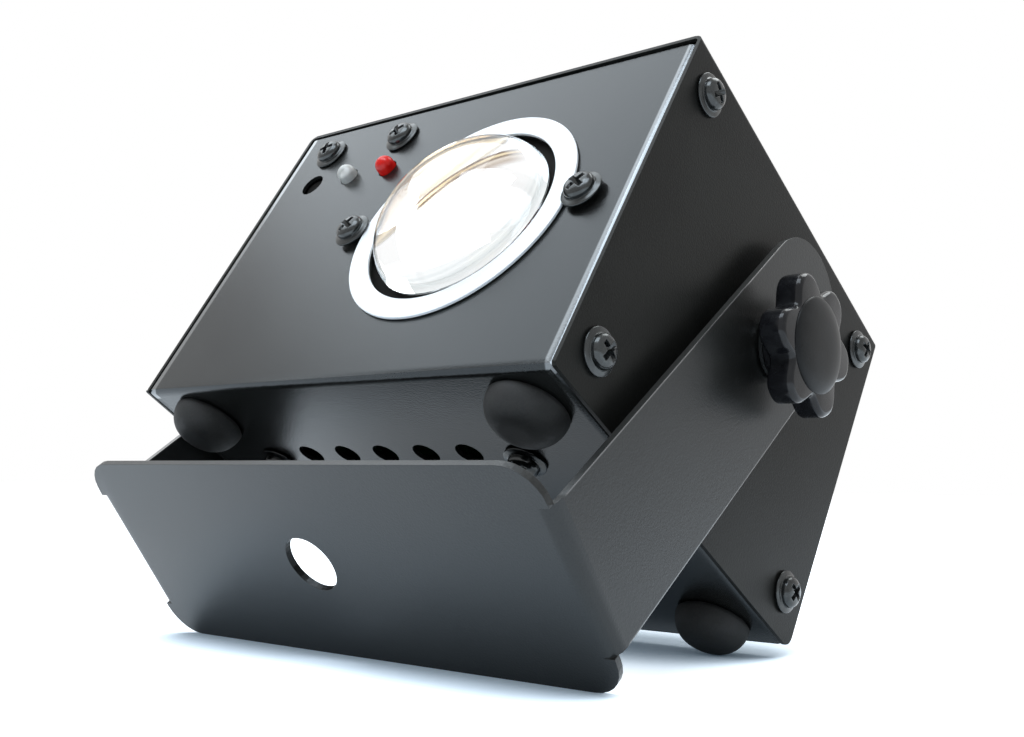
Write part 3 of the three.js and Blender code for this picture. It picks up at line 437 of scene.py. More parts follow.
# Painted reflection: brown and golden rings on the reflector's mirror, standing in for the surroundings mirrored
# in it
paintedReflectionRings(mirrorCoat, {
    "centre": lensAxis,
    "stops": [
        (17.5, (0.97, 0.98, 1.0)), (18.6, (0.96, 0.92, 0.86)), (19.2, (0.60, 0.44, 0.28)),
        (19.5, (0.94, 0.80, 0.58)), (19.8, (0.40, 0.26, 0.14)), (20.0, (0.90, 0.72, 0.45)),
        (20.15, (0.30, 0.19, 0.10)), (20.3, (0.50, 0.34, 0.22)),
    ],
})
# Painted reflection: grey-green rings near the lens's rim, for the light and dark lines at its edge
paintedReflectionRings(clearLens, {
    "centre": lensAxis,
    "stops": [
        (21.2, (1.0, 1.0, 1.0)), (21.5, (0.86, 0.91, 0.91)), (21.7, (0.97, 0.99, 0.99)),
        (21.95, (0.66, 0.73, 0.73)), (22.2, (0.93, 0.97, 0.97)), (22.5, (0.55, 0.62, 0.62)),
        (22.8, (0.92, 0.96, 0.97)),
    ],
})
# Painted reflection: the reflector's brown and golden arc, painted into the lens where it stands in the dome
paintedReflectionRings(clearLens, {
    "centre": (-50.6, 0, 64.9),
    "reach": ((25.7, -64.1, 0.0), 11.0, 17.5),
    "stops": [
        (98.91, (1, 1, 1)), (99.26, (0.07, 0.03, 0.015)), (99.66, (0.05, 0.02, 0.01)),
        (99.96, (0.80, 0.56, 0.26)), (100.41, (0.74, 0.50, 0.22)), (100.71, (0.06, 0.03, 0.015)),
        (101.11, (0.16, 0.10, 0.06)), (101.51, (0.66, 0.54, 0.42)), (102.51, (0.34, 0.25, 0.18)),
        (103.21, (0.52, 0.44, 0.38)), (104.21, (1, 1, 1)),
    ],
})
print("materials made")


# Meshes

replacedNodes = set()


def placedObject(name, data):
    made = bpy.data.objects.new(name, data)
    scene.collection.objects.link(made)
    return made


def finished(name, mesh, finish, body, slot, *replaced):
    piece = placedObject(name, mesh)
    mesh.materials.clear()
    mesh.materials.append(finish)
    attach(piece, body)
    if replaced:
        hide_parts(*replaced)
        replacedNodes.update(replaced)


def meshFrom(work, name, place, sharpDegrees=35):
    bmesh.ops.remove_doubles(work, verts=work.verts, dist=1e-4)
    bmesh.ops.recalc_face_normals(work, faces=work.faces)
    mesh = bpy.data.meshes.new(name)
    work.to_mesh(mesh)
    work.free()
    mesh.transform(place)
    smoothBySharpness(mesh, sharpDegrees)
    return mesh


def smoothBySharpness(mesh, sharpDegrees):
    mesh.polygons.foreach_set("use_smooth", [True] * len(mesh.polygons))
    mesh.set_sharp_from_angle(angle=math.radians(sharpDegrees))
    mesh.update()


def skinRings(work, rings, closed=False):
    # joins neighbouring rings of equal length; a ring of one vertex is a pole
    pairs = list(zip(rings, rings[1:]))
    if closed:
        pairs.append((rings[-1], rings[0]))
    for low, high in pairs:
        count = max(len(low), len(high))
        for i in range(count):
            j = (i + 1) % count
            corners = []
            for ring, index in ((low, i), (low, j), (high, j), (high, i)):
                corner = ring[0] if len(ring) == 1 else ring[index]
                if corner not in corners:
                    corners.append(corner)
            if len(corners) > 2:
                work.faces.new(corners)


def ringOf(work, radiusAt, height, sides):
    ring = []
    for i in range(sides):
        angle = 2 * math.pi * i / sides
        radius = radiusAt(angle)
        ring.append(work.verts.new((radius * math.cos(angle), radius * math.sin(angle), height)))
    return ring


def turnedMesh(name, profile, place, sides=96, closed=False, sharpDegrees=35):
    # profile: (radius, height) along z; a radius of zero is a pole
    work = bmesh.new()
    rings = []
    for radius, height in profile:
        if radius < 1e-6:
            rings.append([work.verts.new((0, 0, height))])
        else:
            rings.append(ringOf(work, lambda angle: radius, height, sides))
    skinRings(work, rings, closed)
    return meshFrom(work, name, place, sharpDegrees)


def quarterTurn(steps):
    return [math.pi / 2 * i / steps for i in range(steps + 1)]


def roundedBlock(name, size, edge, segments, place, shift=(0, 0, 0)):
    work = bmesh.new()
    bmesh.ops.create_cube(work, size=1)
    bmesh.ops.scale(work, vec=size, verts=work.verts)
    bmesh.ops.translate(work, vec=shift, verts=work.verts)
    bmesh.ops.bevel(work, geom=work.edges[:], offset=edge, segments=segments, affect="EDGES", profile=0.5)
    return meshFrom(work, name, place, 50)


def filleted(corners, steps=5):
    # corners: (radius, height, fillet); a fillet of zero stays sharp
    points = []
    last = len(corners) - 1
    for i, (radius, height, fillet) in enumerate(corners):
        here = Vector((radius, height))
        if fillet == 0 or i in (0, last):
            points.append(tuple(here))
            continue
        before = Vector(corners[i - 1][:2]) - here
        after = Vector(corners[i + 1][:2]) - here
        half = before.angle(after) / 2
        setBack = min(fillet / math.tan(half), before.length / 2, after.length / 2)
        start = here + before.normalized() * setBack
        end = here + after.normalized() * setBack
        for step in range(steps + 1):
            t = step / steps
            points.append(tuple(start * (1 - t) ** 2 + here * 2 * t * (1 - t) + end * t ** 2))
    return points


tray = {
    "bend": 2.2,
    "sideX": -63.7,
    "frontY": -52.4,
    "floorZ": -46,
    "squareness": 5,
    "widened": 0.27,
    "raised": 0.3,
    "topZ": 44,
}
coverEdge = {"frontY": -53, "sideX": -64, "blendX": -61, "drawBack": 0.5}
slack = 0.1  # mm, to tell whether a point lies on a face


def tightenBend(first, second):
    # squares up one quarter bend; both numbers run from 0 at its start to 1 at its outside
    power = tray["squareness"]
    reach = math.hypot(first, second)
    along, across = first / reach, second / reach
    grow = 1 / (along ** power + across ** power) ** (1 / power)
    return first * grow, second * grow


def tightenTray(work):
    # squares up the left bends, widens the tray at both sides and raises the panel's top edge
    bend, backToHousing = tray["bend"], housing.inverted()
    for vertex in work.verts:
        spot = backToHousing @ vertex.co
        out = (tray["sideX"] + bend - spot.x) / bend
        for axis, face in ((1, tray["frontY"]), (2, tray["floorZ"])):
            forward = (face + bend - spot[axis]) / bend
            if out > 1e-4 and forward > 1e-4:
                out, forward = tightenBend(out, forward)
                spot.x = tray["sideX"] + bend - out * bend
                spot[axis] = face + bend - forward * bend
        if abs(spot.x) > -tray["sideX"] - bend:
            spot.x += math.copysign(tray["widened"], spot.x)
        if spot.z > tray["topZ"] - slack and spot.y < tray["frontY"] + bend:
            spot.z += tray["raised"]
        vertex.co = housing @ spot


def drawBackLeftEdge(work):
    # the cover's left front edge ends level with the panel
    backToHousing = housing.inverted()
    for vertex in work.verts:
        spot = backToHousing @ vertex.co
        if spot.y < coverEdge["frontY"] + slack:
            share = (coverEdge["blendX"] - spot.x) / (coverEdge["blendX"] - coverEdge["sideX"])
            share = min(max(share, 0), 1)
            spot.y += coverEdge["drawBack"] * share * share * (3 - 2 * share)
            vertex.co = housing @ spot


def softenedMesh(node, width, segments=2, sharpDegrees=35):
    # a merged copy of a CAD node with its edges rounded
    work = bmesh.new()
    work.from_mesh(frame["nodes"][node].data)
    bmesh.ops.remove_doubles(work, verts=work.verts, dist=1e-6)
    if node == "chassis":
        tightenTray(work)
    if node == "cover_shell":
        drawBackLeftEdge(work)
    mesh = bpy.data.meshes.new(node + "Copy")
    work.to_mesh(mesh)
    work.free()
    mesh.materials.clear()
    for name in [layer.name for layer in mesh.uv_layers]:
        mesh.uv_layers.remove(mesh.uv_layers[name])
    smoothBySharpness(mesh, sharpDegrees)
    carrier = placedObject(node + "Copy", mesh)
    rounding = carrier.modifiers.new("rounding", "BEVEL")
    rounding.width = width * mm
    rounding.segments = segments
    rounding.limit_method = "ANGLE"
    rounding.angle_limit = math.radians(sharpDegrees)
    shading = carrier.modifiers.new("shading", "WEIGHTED_NORMAL")
    shading.mode = "FACE_AREA"
    shading.weight = 100
    shading.keep_sharp = True
    return applied(carrier)


def applied(carrier):
    bpy.context.view_layer.update()
    graph = bpy.context.evaluated_depsgraph_get()
    evaluated = carrier.evaluated_get(graph)
    mesh = bpy.data.meshes.new_from_object(evaluated, preserve_all_data_layers=True, depsgraph=graph)
    bpy.data.objects.remove(carrier)
    return mesh


# Geometry Nodes tree that sets copies of one piece on marked points


def makeCopiesTree():
    tree = bpy.data.node_groups.new("copiesOnPoints", "GeometryNodeTree")
    inputKinds = {
        "Geometry": "Geometry", "Piece": "Object", "Size": "Float", "Twist": "Float", "Seed": "Int",
        "Finish": "Material",
    }
    for label, kind in inputKinds.items():
        tree.interface.new_socket(label, in_out="INPUT", socket_type="NodeSocket" + kind)
    tree.interface.new_socket("Geometry", in_out="OUTPUT", socket_type="NodeSocketGeometry")
    nodes, links = tree.nodes, tree.links
    given = nodes.new("NodeGroupInput")
    result = nodes.new("NodeGroupOutput")
    source = nodes.new("GeometryNodeObjectInfo")
    source.transform_space = "ORIGINAL"
    turnOf = nodes.new("GeometryNodeInputNamedAttribute")
    turnOf.data_type = "FLOAT_VECTOR"
    turnOf.inputs["Name"].default_value = "turn"
    asRotation = nodes.new("FunctionNodeEulerToRotation")
    twistOf = nodes.new("FunctionNodeRandomValue")
    twistOf.data_type = "FLOAT"
    aboutZ = nodes.new("FunctionNodeAxisAngleToRotation")
    aboutZ.inputs["Axis"].default_value = (0, 0, 1)
    turned = nodes.new("FunctionNodeRotateRotation")
    turned.rotation_space = "LOCAL"
    copies = nodes.new("GeometryNodeInstanceOnPoints")
    real = nodes.new("GeometryNodeRealizeInstances")
    painted = nodes.new("GeometryNodeSetMaterial")
    floatMin, floatMax = [socket for socket in twistOf.inputs if socket.type == "VALUE"][:2]
    floatOut = [socket for socket in twistOf.outputs if socket.type == "VALUE"][0]
    vectorOut = [socket for socket in turnOf.outputs if socket.type == "VECTOR"][0]
    floatMin.default_value = 0
    links.new(given.outputs["Twist"], floatMax)
    links.new(given.outputs["Seed"], twistOf.inputs["Seed"])
    links.new(vectorOut, asRotation.inputs["Euler"])
    links.new(floatOut, aboutZ.inputs["Angle"])
    links.new(asRotation.outputs["Rotation"], turned.inputs["Rotation"])
    links.new(aboutZ.outputs["Rotation"], turned.inputs["Rotate By"])
    links.new(given.outputs["Piece"], source.inputs["Object"])
    links.new(given.outputs["Geometry"], copies.inputs["Points"])
    links.new(source.outputs["Geometry"], copies.inputs["Instance"])
    links.new(turned.outputs["Rotation"], copies.inputs["Rotation"])
    links.new(given.outputs["Size"], copies.inputs["Scale"])
    links.new(copies.outputs["Instances"], real.inputs["Geometry"])
    links.new(real.outputs["Geometry"], painted.inputs["Geometry"])
    links.new(given.outputs["Finish"], painted.inputs["Material"])
    links.new(painted.outputs["Geometry"], result.inputs["Geometry"])
    return tree


copiesTree = makeCopiesTree()


def copiesMesh(name, pieceMesh, places, finish, twist=0.0, seed=0):
    # pieceMesh is in metres; each place gives it a point in metres and a turn, and no scale
    piece = placedObject(name + "Piece", pieceMesh)
    points = bpy.data.meshes.new(name + "Points")
    points.from_pydata([tuple(place.translation) for place in places], [], [])
    turns = points.attributes.new("turn", "FLOAT_VECTOR", "POINT")
    for i, place in enumerate(places):
        turns.data[i].vector = place.to_quaternion().to_euler("XYZ")
    carrier = placedObject(name + "Points", points)
    modifier = carrier.modifiers.new("copies", "NODES")
    modifier.node_group = copiesTree
    values = {"Piece": piece, "Size": 1.0, "Twist": twist, "Seed": seed, "Finish": finish}
    for label, value in values.items():
        modifier[copiesTree.interface.items_tree[label].identifier] = value
    mesh = applied(carrier)
    bpy.data.objects.remove(piece)
    return mesh


# Sheet metal and other pieces that follow their CAD shape, with rounded edges
softened = {
    "cover_shell": (0.22, shadedCoverCoat, "black_powder_coat"),
    "chassis": (0.22, sheenedPanelCoat, "black_powder_coat"),
    "bracket": (0.42, sheenedBracketCoat, "black_powder_coat"),
    # the lens holder in the shade black: painted shade in the gap round the lens
    "lens_holder": (0.2, shadeBlack, "matt_black_plastic"),
    "power_inlet": (0.35, mattPlastic, "matt_black_plastic"),
    "heat_sink": (0.15, aluminium, "bare_aluminium"),
    "control_board": (0.1, solderMask, "circuit_board"),
    "driver_board": (0.1, solderMask, "circuit_board"),
    "driver_transformer": (0.3, darkCore, "dark_core"),
    "pivot_nut_left": (0.2, zinc, "zinc_steel"),
    "pivot_nut_right": (0.2, zinc, "zinc_steel"),
    "spacer_washer_left": (0.3, rubber, "black_rubber"),
    "spacer_washer_right": (0.3, rubber, "black_rubber"),
}
for nodeName, (edge, finish, slotName) in softened.items():
    finished(nodeName + "_soft", softenedMesh(nodeName, edge), finish, bodyOf[nodeName], slotName, nodeName)
print("sheet metal rounded")


# Washer-head screws with a cross recess
screw = {
    "shankRadius": 2,
    "shankLength": 8,
    "washerRadius": 4.9,
    "washerThickness": 0.7,
    "washerRimShare": 0.62,
    "domeRadius": 3.6,
    "domeHeight": 2.1,
    "domeLift": 0.45,
    "domeFootWidth": 0.25,
    "domeFootHeight": 0.12,
    "domeSteps": 10,
    "panShare": 0.55,
    "crownShare": 0.9,
    "sides": 56,
    "edge": 0.12,
    "sharpDegrees": 50,
    "placedSharpDegrees": 40,
    "recessReach": 2.35,
    "recessWidth": 1.25,
    "recessTaper": 0.4,
    "recessRings": ((0.35, -1.8), (1.0, -0.15), (1.12, 0.6)),
    "coverSpanY": 88,
    "coverSpanZ": 72,
    "coverSeatX": 65.3,
    "floorX": -2,
    "floorSpanX": 80,
    "floorSpanY": 46,
    "floorSeatZ": -46.3,
    "lensX": lensAxis[0],
    "lensZ": lensAxis[2],
    "lensSpan": 69.5,
    "lensSeatY": -53.6,
    "boardX": -35.75,
    "boardZ": 35.2,
    "boardSpan": 27.5,
    "boardSeatY": -52.7,
    "seed": 4,
}


def screwMesh():
    washer = screw["washerThickness"]
    top = washer + screw["domeHeight"]
    profile = filleted([
        (0, -screw["shankLength"], 0),
        (screw["shankRadius"], -screw["shankLength"], 0.4),
        (screw["shankRadius"], 0, 0.1),
        (screw["washerRadius"], 0, 0.15),
        (screw["washerRadius"], washer * screw["washerRimShare"], 0.25),
        (screw["domeRadius"] + screw["domeFootWidth"], washer, 0.15),
        (screw["domeRadius"], washer + screw["domeFootHeight"], 0.1),
    ])
    start = washer + screw["domeLift"]
    for angle in quarterTurn(screw["domeSteps"]):
        radius = screw["domeRadius"] * math.cos(angle) ** screw["panShare"]
        height = start + (top - start) * math.sin(angle) ** screw["crownShare"]
        profile.append((radius, height))
    sharpDegrees = screw["sharpDegrees"]
    mesh = turnedMesh("screwHead", profile, Matrix.Scale(mm, 4), screw["sides"], sharpDegrees=sharpDegrees)
    body = placedObject("screwHead", mesh)
    reach, width, taper = screw["recessReach"], screw["recessWidth"] / 2, screw["recessTaper"]
    work = bmesh.new()
    rings = []
    for scale, rise in screw["recessRings"]:
        ring = []
        for quarter in range(4):
            turn = Matrix.Rotation(math.pi / 2 * quarter, 3, "Z")
            for x, y in ((reach, -width), (reach, width), (width, width)):
                corner = Vector((x * scale, y * (1 - taper + taper * scale), top + rise))
                ring.append(work.verts.new(turn @ corner))
        rings.append(ring)
    skinRings(work, rings)
    work.faces.new(rings[0])
    work.faces.new(list(reversed(rings[-1])))
    cutter = placedObject("recess", meshFrom(work, "recess", Matrix.Scale(mm, 4)))
    recess = body.modifiers.new("recess", "BOOLEAN")
    recess.object = cutter
    recess.operation = "DIFFERENCE"
    recess.solver = "EXACT"
    edges = body.modifiers.new("edges", "BEVEL")
    edges.width = screw["edge"] * mm
    edges.segments = 2
    edges.limit_method = "ANGLE"
    edges.angle_limit = math.radians(sharpDegrees)
    edges.harden_normals = True
    result = applied(body)
    bpy.data.objects.remove(cutter)
    return result


def screwPlaces():
    halfY, halfZ = screw["coverSpanY"] / 2, screw["coverSpanZ"] / 2
    places = []
    for side in (-1, 1):
        for y in (-halfY, halfY):
            for z in (-halfZ, halfZ):
                places.append(at(side * screw["coverSeatX"], y, z) @ facingSide(side))
        for row in (-1, 1):
            x = screw["floorX"] + side * screw["floorSpanX"] / 2
            y = row * screw["floorSpanY"] / 2
            places.append(at(x, y, screw["floorSeatZ"]) @ facingDown)
        lensPlace = at(screw["lensX"] + side * screw["lensSpan"] / 2, screw["lensSeatY"], screw["lensZ"])
        places.append(lensPlace @ facingFront)
        boardPlace = at(screw["boardX"] + side * screw["boardSpan"] / 2, screw["boardSeatY"], screw["boardZ"])
        places.append(boardPlace @ facingFront)
    return [housing @ place for place in places]


screwNodes = [name for name in frame["nodes"] if "_screw_" in name]
screws = copiesMesh("screws", screwMesh(), screwPlaces(), screwBlack, 2 * math.pi, screw["seed"])
smoothBySharpness(screws, screw["placedSharpDegrees"])
finished("screws", screws, screwBlack, "housing_body", "black_screw", *screwNodes)
print("screws placed")


# Rubber feet
foot = {
    "radius": 8.8,
    "flat": 2.8,
    "height": 6.8,
    "edge": 0.3,
    "steps": 16,
    "sides": 72,
    "stemRadius": 2.2,
    "stemLength": 4,
    "spanX": 102,
    "spanY": 82,
    "seatZ": -46.3,
}


def footMesh():
    edge = foot["edge"]
    profile = [(0, -foot["stemLength"]), (foot["stemRadius"], -foot["stemLength"])]
    profile += [(foot["stemRadius"], 0), (foot["radius"] - edge, 0)]
    for angle in quarterTurn(foot["steps"]):
        radius = foot["flat"] + (foot["radius"] - foot["flat"]) * math.cos(angle)
        profile.append((radius, edge + (foot["height"] - edge) * math.sin(angle)))
    profile.append((0, foot["height"]))
    return turnedMesh("footDome", profile, Matrix.Scale(mm, 4), foot["sides"], sharpDegrees=50)


footPlaces = []
for side in (-1, 1):
    for row in (-1, 1):
        spot = at(side * foot["spanX"] / 2, row * foot["spanY"] / 2, foot["seatZ"])
        footPlaces.append(housing @ spot @ facingDown)
feet = copiesMesh("feet", footMesh(), footPlaces, rubber)
footNodes = [name for name in frame["nodes"] if name.startswith("foot_")]
finished("feet", feet, rubber, "housing_body", "black_rubber", *footNodes)
print("feet placed")


# Clamp knobs, washers and the satin disc on each knob
knob = {
    "seatX": 72.6,
    "radius": 15.9,
    "lobes": 6,
    "lobeDepth": 4.2,
    "lobeShare": 1.5,
    "phaseDegrees": 21.2,
    "hubRadius": 8,
    "hubHeight": 3.1,
    "bodyHeight": 6.2,
    "edge": 1.3,
    "edgeSteps": 6,
    "sidesPerLobe": 32,
    "discRadius": 10.6,
    "discRise": 1.3,
    "discLift": 0.15,
    "discSink": 0.5,
    "discEdgeShare": 0.75,
    "discCrownShare": 1.2,
    "discSteps": 12,
    "discSides": 128,
    "washerSeatX": 71.1,
    "washerRadius": 7,
    "washerBore": 3.3,
    "washerThickness": 1.2,
    "washerEdge": 0.2,
    "washerSides": 64,
}


def lobeRadius(angle, inset):
    hollow = ((1 - math.cos(knob["lobes"] * angle)) / 2) ** knob["lobeShare"]
    return knob["radius"] - inset - knob["lobeDepth"] * hollow


def knobMesh(place):
    sides = knob["lobes"] * knob["sidesPerLobe"]
    low, high = knob["hubHeight"], knob["hubHeight"] + knob["bodyHeight"]
    edge, angles = knob["edge"], quarterTurn(knob["edgeSteps"])
    layers = [(edge * (1 - math.sin(angle)), low + edge * (1 - math.cos(angle))) for angle in angles]
    layers += [(edge * (1 - math.cos(angle)), high - edge * (1 - math.sin(angle))) for angle in angles]
    work = bmesh.new()
    rings = [[work.verts.new((0, 0, 0))]]
    for radius, height in filleted([(0, 0, 0), (knob["hubRadius"], 0, 0.5), (knob["hubRadius"], low, 0)])[1:]:
        rings.append(ringOf(work, lambda angle: radius, height, sides))
    for inset, height in layers:
        rings.append(ringOf(work, lambda angle: lobeRadius(angle, inset), height, sides))
    rings.append([work.verts.new((0, 0, high))])
    skinRings(work, rings)
    return meshFrom(work, "clampKnob", place, 40)


def discProfile():
    seat = knob["hubHeight"] + knob["bodyHeight"]
    profile = [(0, seat - knob["discSink"]), (knob["discRadius"], seat - knob["discSink"])]
    for angle in quarterTurn(knob["discSteps"]):
        radius = knob["discRadius"] * math.cos(angle) ** knob["discEdgeShare"]
        rise = knob["discRise"] * math.sin(angle) ** knob["discCrownShare"]
        profile.append((radius, seat + knob["discLift"] + rise))
    return profile


outer, thickness, edge = knob["washerRadius"], knob["washerThickness"], knob["washerEdge"]
washerProfile = [
    (knob["washerBore"], 0), (outer - edge, 0), (outer, edge),
    (outer, thickness - edge), (outer - edge, thickness), (knob["washerBore"], thickness),
]
for sideName, side in (("left", -1), ("right", 1)):
    # the lobes' phase is counted from the rear towards the roof on both sides
    phase = math.radians(knob["phaseDegrees"])
    onSide = at(side * knob["seatX"], pivotOffset, pivotOffset) @ facingSide(side)
    towardsRear = math.pi / 2
    spin = Matrix.Rotation(towardsRear + (phase if side > 0 else -phase), 4, "Z")
    place = housing @ onSide @ spin
    body = f"clamp_knob_{sideName}_body"
    finished(
        f"clamp_knob_{sideName}_lobes", knobMesh(place), glossPlastic, body,
        "gloss_black_plastic", f"clamp_knob_{sideName}",
    )
    disc = turnedMesh("knobDisc", discProfile(), place, knob["discSides"])
    finished(f"clamp_knob_{sideName}_disc", disc, satinPlastic, body, "gloss_black_plastic")
    # Painted shade: the washers take the dark screw finish, so they read as the shade behind the knobs
    washerPlace = housing @ at(side * knob["washerSeatX"], pivotOffset, pivotOffset) @ facingSide(side)
    washer = turnedMesh("clampWasher", washerProfile, washerPlace, knob["washerSides"], closed=True)
    finished(
        f"clamp_washer_{sideName}_turned", washer, screwBlack, f"clamp_washer_{sideName}_body",
        "black_screw", f"clamp_washer_{sideName}",
    )
print("clamps made")


# Lens, its white ring, the reflector and the lamp behind it
lens = {
    "x": lensAxis[0],
    "z": lensAxis[2],
    "sides": 160,
    "domeSteps": 40,
    "domeRadius": 22.8,
    "domeHeight": 13.4,
    "domeStart": -51.75,
    "domeBack": -51.6,
    "neckRadius": 21.8,
    "flangeRadius": 22.8,
    "flangeStart": -49.8,
    "flangeEnd": -48.2,
    "ringOuter": 30.6,
    "ringInner": 25.2,
    "ringFront": -53.3,
    "ringBack": -52.7,
    "reflectorMouth": 20.3,
    "reflectorThroat": 7.5,
    "reflectorStart": -47.9,
    "reflectorEnd": -30.4,
    "reflectorWall": 1,
    "reflectorSteps": 14,
    "reflectorSides": 96,
    "bowlPower": 1.35,
    "lipWidth": 0.8,
    "dieRadius": 6,
    "dieFront": -31.2,
    "dieCrown": 0.35,
    "dieShoulder": 0.25,
    "dieShoulderShare": 0.75,
    "dieRim": 0.3,
    "dieThickness": 0.5,
    "dieSides": 64,
}
lensPlace = housing @ at(lens["x"], 0, lens["z"]) @ facingRear


def lensProfile():
    profile = []
    for angle in quarterTurn(lens["domeSteps"]):
        height = lens["domeStart"] - lens["domeHeight"] * math.cos(angle)
        profile.append((lens["domeRadius"] * math.sin(angle), height))
    rim = filleted([
        (lens["domeRadius"], lens["domeStart"], 0),
        (lens["domeRadius"], lens["domeBack"], 0.05),
        (lens["neckRadius"], lens["domeBack"], 0.1),
        (lens["neckRadius"], lens["flangeStart"], 0.1),
        (lens["flangeRadius"], lens["flangeStart"], 0.15),
        (lens["flangeRadius"], lens["flangeEnd"], 0.15),
        (0, lens["flangeEnd"], 0),
    ], 3)
    return profile + rim[1:]


ringProfile = filleted([
    (lens["ringInner"], lens["ringBack"], 0),
    (lens["ringInner"], lens["ringFront"], 0.22),
    (lens["ringOuter"], lens["ringFront"], 0.22),
    (lens["ringOuter"], lens["ringBack"], 0),
])


def reflectorProfile():
    # a bowl between the mouth and the throat, with its outer wall behind it
    steps, wall = lens["reflectorSteps"], lens["reflectorWall"]
    mouth, throat = lens["reflectorMouth"], lens["reflectorThroat"]
    start, end = lens["reflectorStart"], lens["reflectorEnd"]
    inner, outer = [], []
    for i in range(steps + 1):
        t = i / steps
        radius = mouth + (throat - mouth) * t ** lens["bowlPower"]
        height = start + (end - start) * t
        inner.append((radius, height))
        outer.append((radius + wall, height))
    rim = lens["flangeRadius"]
    outer[0] = (rim, start)
    outer.insert(1, (rim, start + wall))
    outer.insert(2, (mouth + lens["lipWidth"], start + wall))
    return inner + list(reversed(outer))


finished("lens_dome", turnedMesh("lensDome", lensProfile(), lensPlace, lens["sides"], sharpDegrees=40),
         clearLens, "housing_body", "clear_lens", "lens")
finished("lens_ring_trim", turnedMesh("lensRing", ringProfile, lensPlace, lens["sides"], closed=True),
         whiteTrim, "housing_body", "white_trim", "lens_ring")
bowl = turnedMesh("reflectorBowl", reflectorProfile(), lensPlace, lens["reflectorSides"], closed=True)
finished("reflector_bowl", bowl,
         mirrorCoat, "housing_body", "mirror_coat", "reflector")
finished("led_board", softenedMesh("led_module", 0.2), ledBoardWhite, "housing_body",
         "led_surface", "led_module")
dieFront, dieOuter = lens["dieFront"], lens["dieRadius"] + lens["dieRim"]
dieProfile = filleted([
    (0, dieFront - lens["dieCrown"], 0),
    (lens["dieRadius"] * lens["dieShoulderShare"], dieFront - lens["dieShoulder"], 0.5),
    (dieOuter, dieFront, 0.3),
    (dieOuter, dieFront + lens["dieThickness"], 0),
    (0, dieFront + lens["dieThickness"], 0),
])
finished("led_phosphor", turnedMesh("ledPhosphor", dieProfile, lensPlace, lens["dieSides"]),
         phosphor, "housing_body", "led_surface")
print("lens made")


# Indicator lights: resin domes with a cup on its lead inside
indicator = {
    "z": 23.8,
    "signalX": -35.2,
    "powerX": -20.9,
    "radius": 2.5,
    "flangeRadius": 2.9,
    "tip": -56.0,
    "flangeFront": -48.0,
    "back": -47.0,
    "domeSteps": 14,
    "sides": 48,
    "cupSides": 24,
    "cup": [  # radius, and height from the tip
        (0, 3.0), (0.35, 3.0), (0.9, 2.2), (1.0, 2.2), (0.9, 3.4), (0.45, 3.8), (0.45, 7.6), (0, 7.6),
    ],
}


def indicatorProfile():
    profile = []
    for angle in quarterTurn(indicator["domeSteps"]):
        height = indicator["tip"] + indicator["radius"] * (1 - math.cos(angle))
        profile.append((indicator["radius"] * math.sin(angle), height))
    rim = filleted([
        (indicator["radius"], indicator["flangeFront"], 0.1),
        (indicator["flangeRadius"], indicator["flangeFront"], 0.15),
        (indicator["flangeRadius"], indicator["back"], 0.1),
        (0, indicator["back"], 0),
    ], 3)
    return profile + rim


for label, finish, slotName in (
    ("signal", clearResin, "clear_indicator"),
    ("power", redResin, "red_indicator"),
):
    place = housing @ at(indicator[label + "X"], 0, indicator["z"]) @ facingRear
    dome = turnedMesh(label + "Light", indicatorProfile(), place, indicator["sides"], sharpDegrees=45)
    finished(f"{label}_led_dome", dome, finish, "housing_body", slotName, f"{label}_led")
    profile = [(radius, indicator["tip"] + height) for radius, height in indicator["cup"]]
    cup = turnedMesh(label + "Cup", profile, place, indicator["cupSides"])
    finished(f"{label}_led_cup", cup, zinc, "housing_body", slotName)
print("indicators made")


# Rear speed control: a ribbed knob with a white pointer
speed = {
    "x": 30,
    "z": 10,
    "start": 55.7,
    "radius": 7.5,
    "topRadius": 6.4,
    "height": 12,
    "sides": 72,
    "ribs": 18,
    "ribDepth": 0.6,
    "ribShare": 0.55,
    "ribStart": 4.2,
    "ribLength": 7.6,
    "ribGap": 0.15,
    "ribEdge": 0.25,
    "skirtHeight": 2,
    "coneHeight": 4,
    "pointerWidth": 1,
    "pointerStart": 1.0,
    "pointerGap": 0.2,
    "pointerThickness": 0.1,
    "pointerEdge": 0.03,
}
speedPlace = housing @ at(speed["x"], 0, speed["z"]) @ facingRear


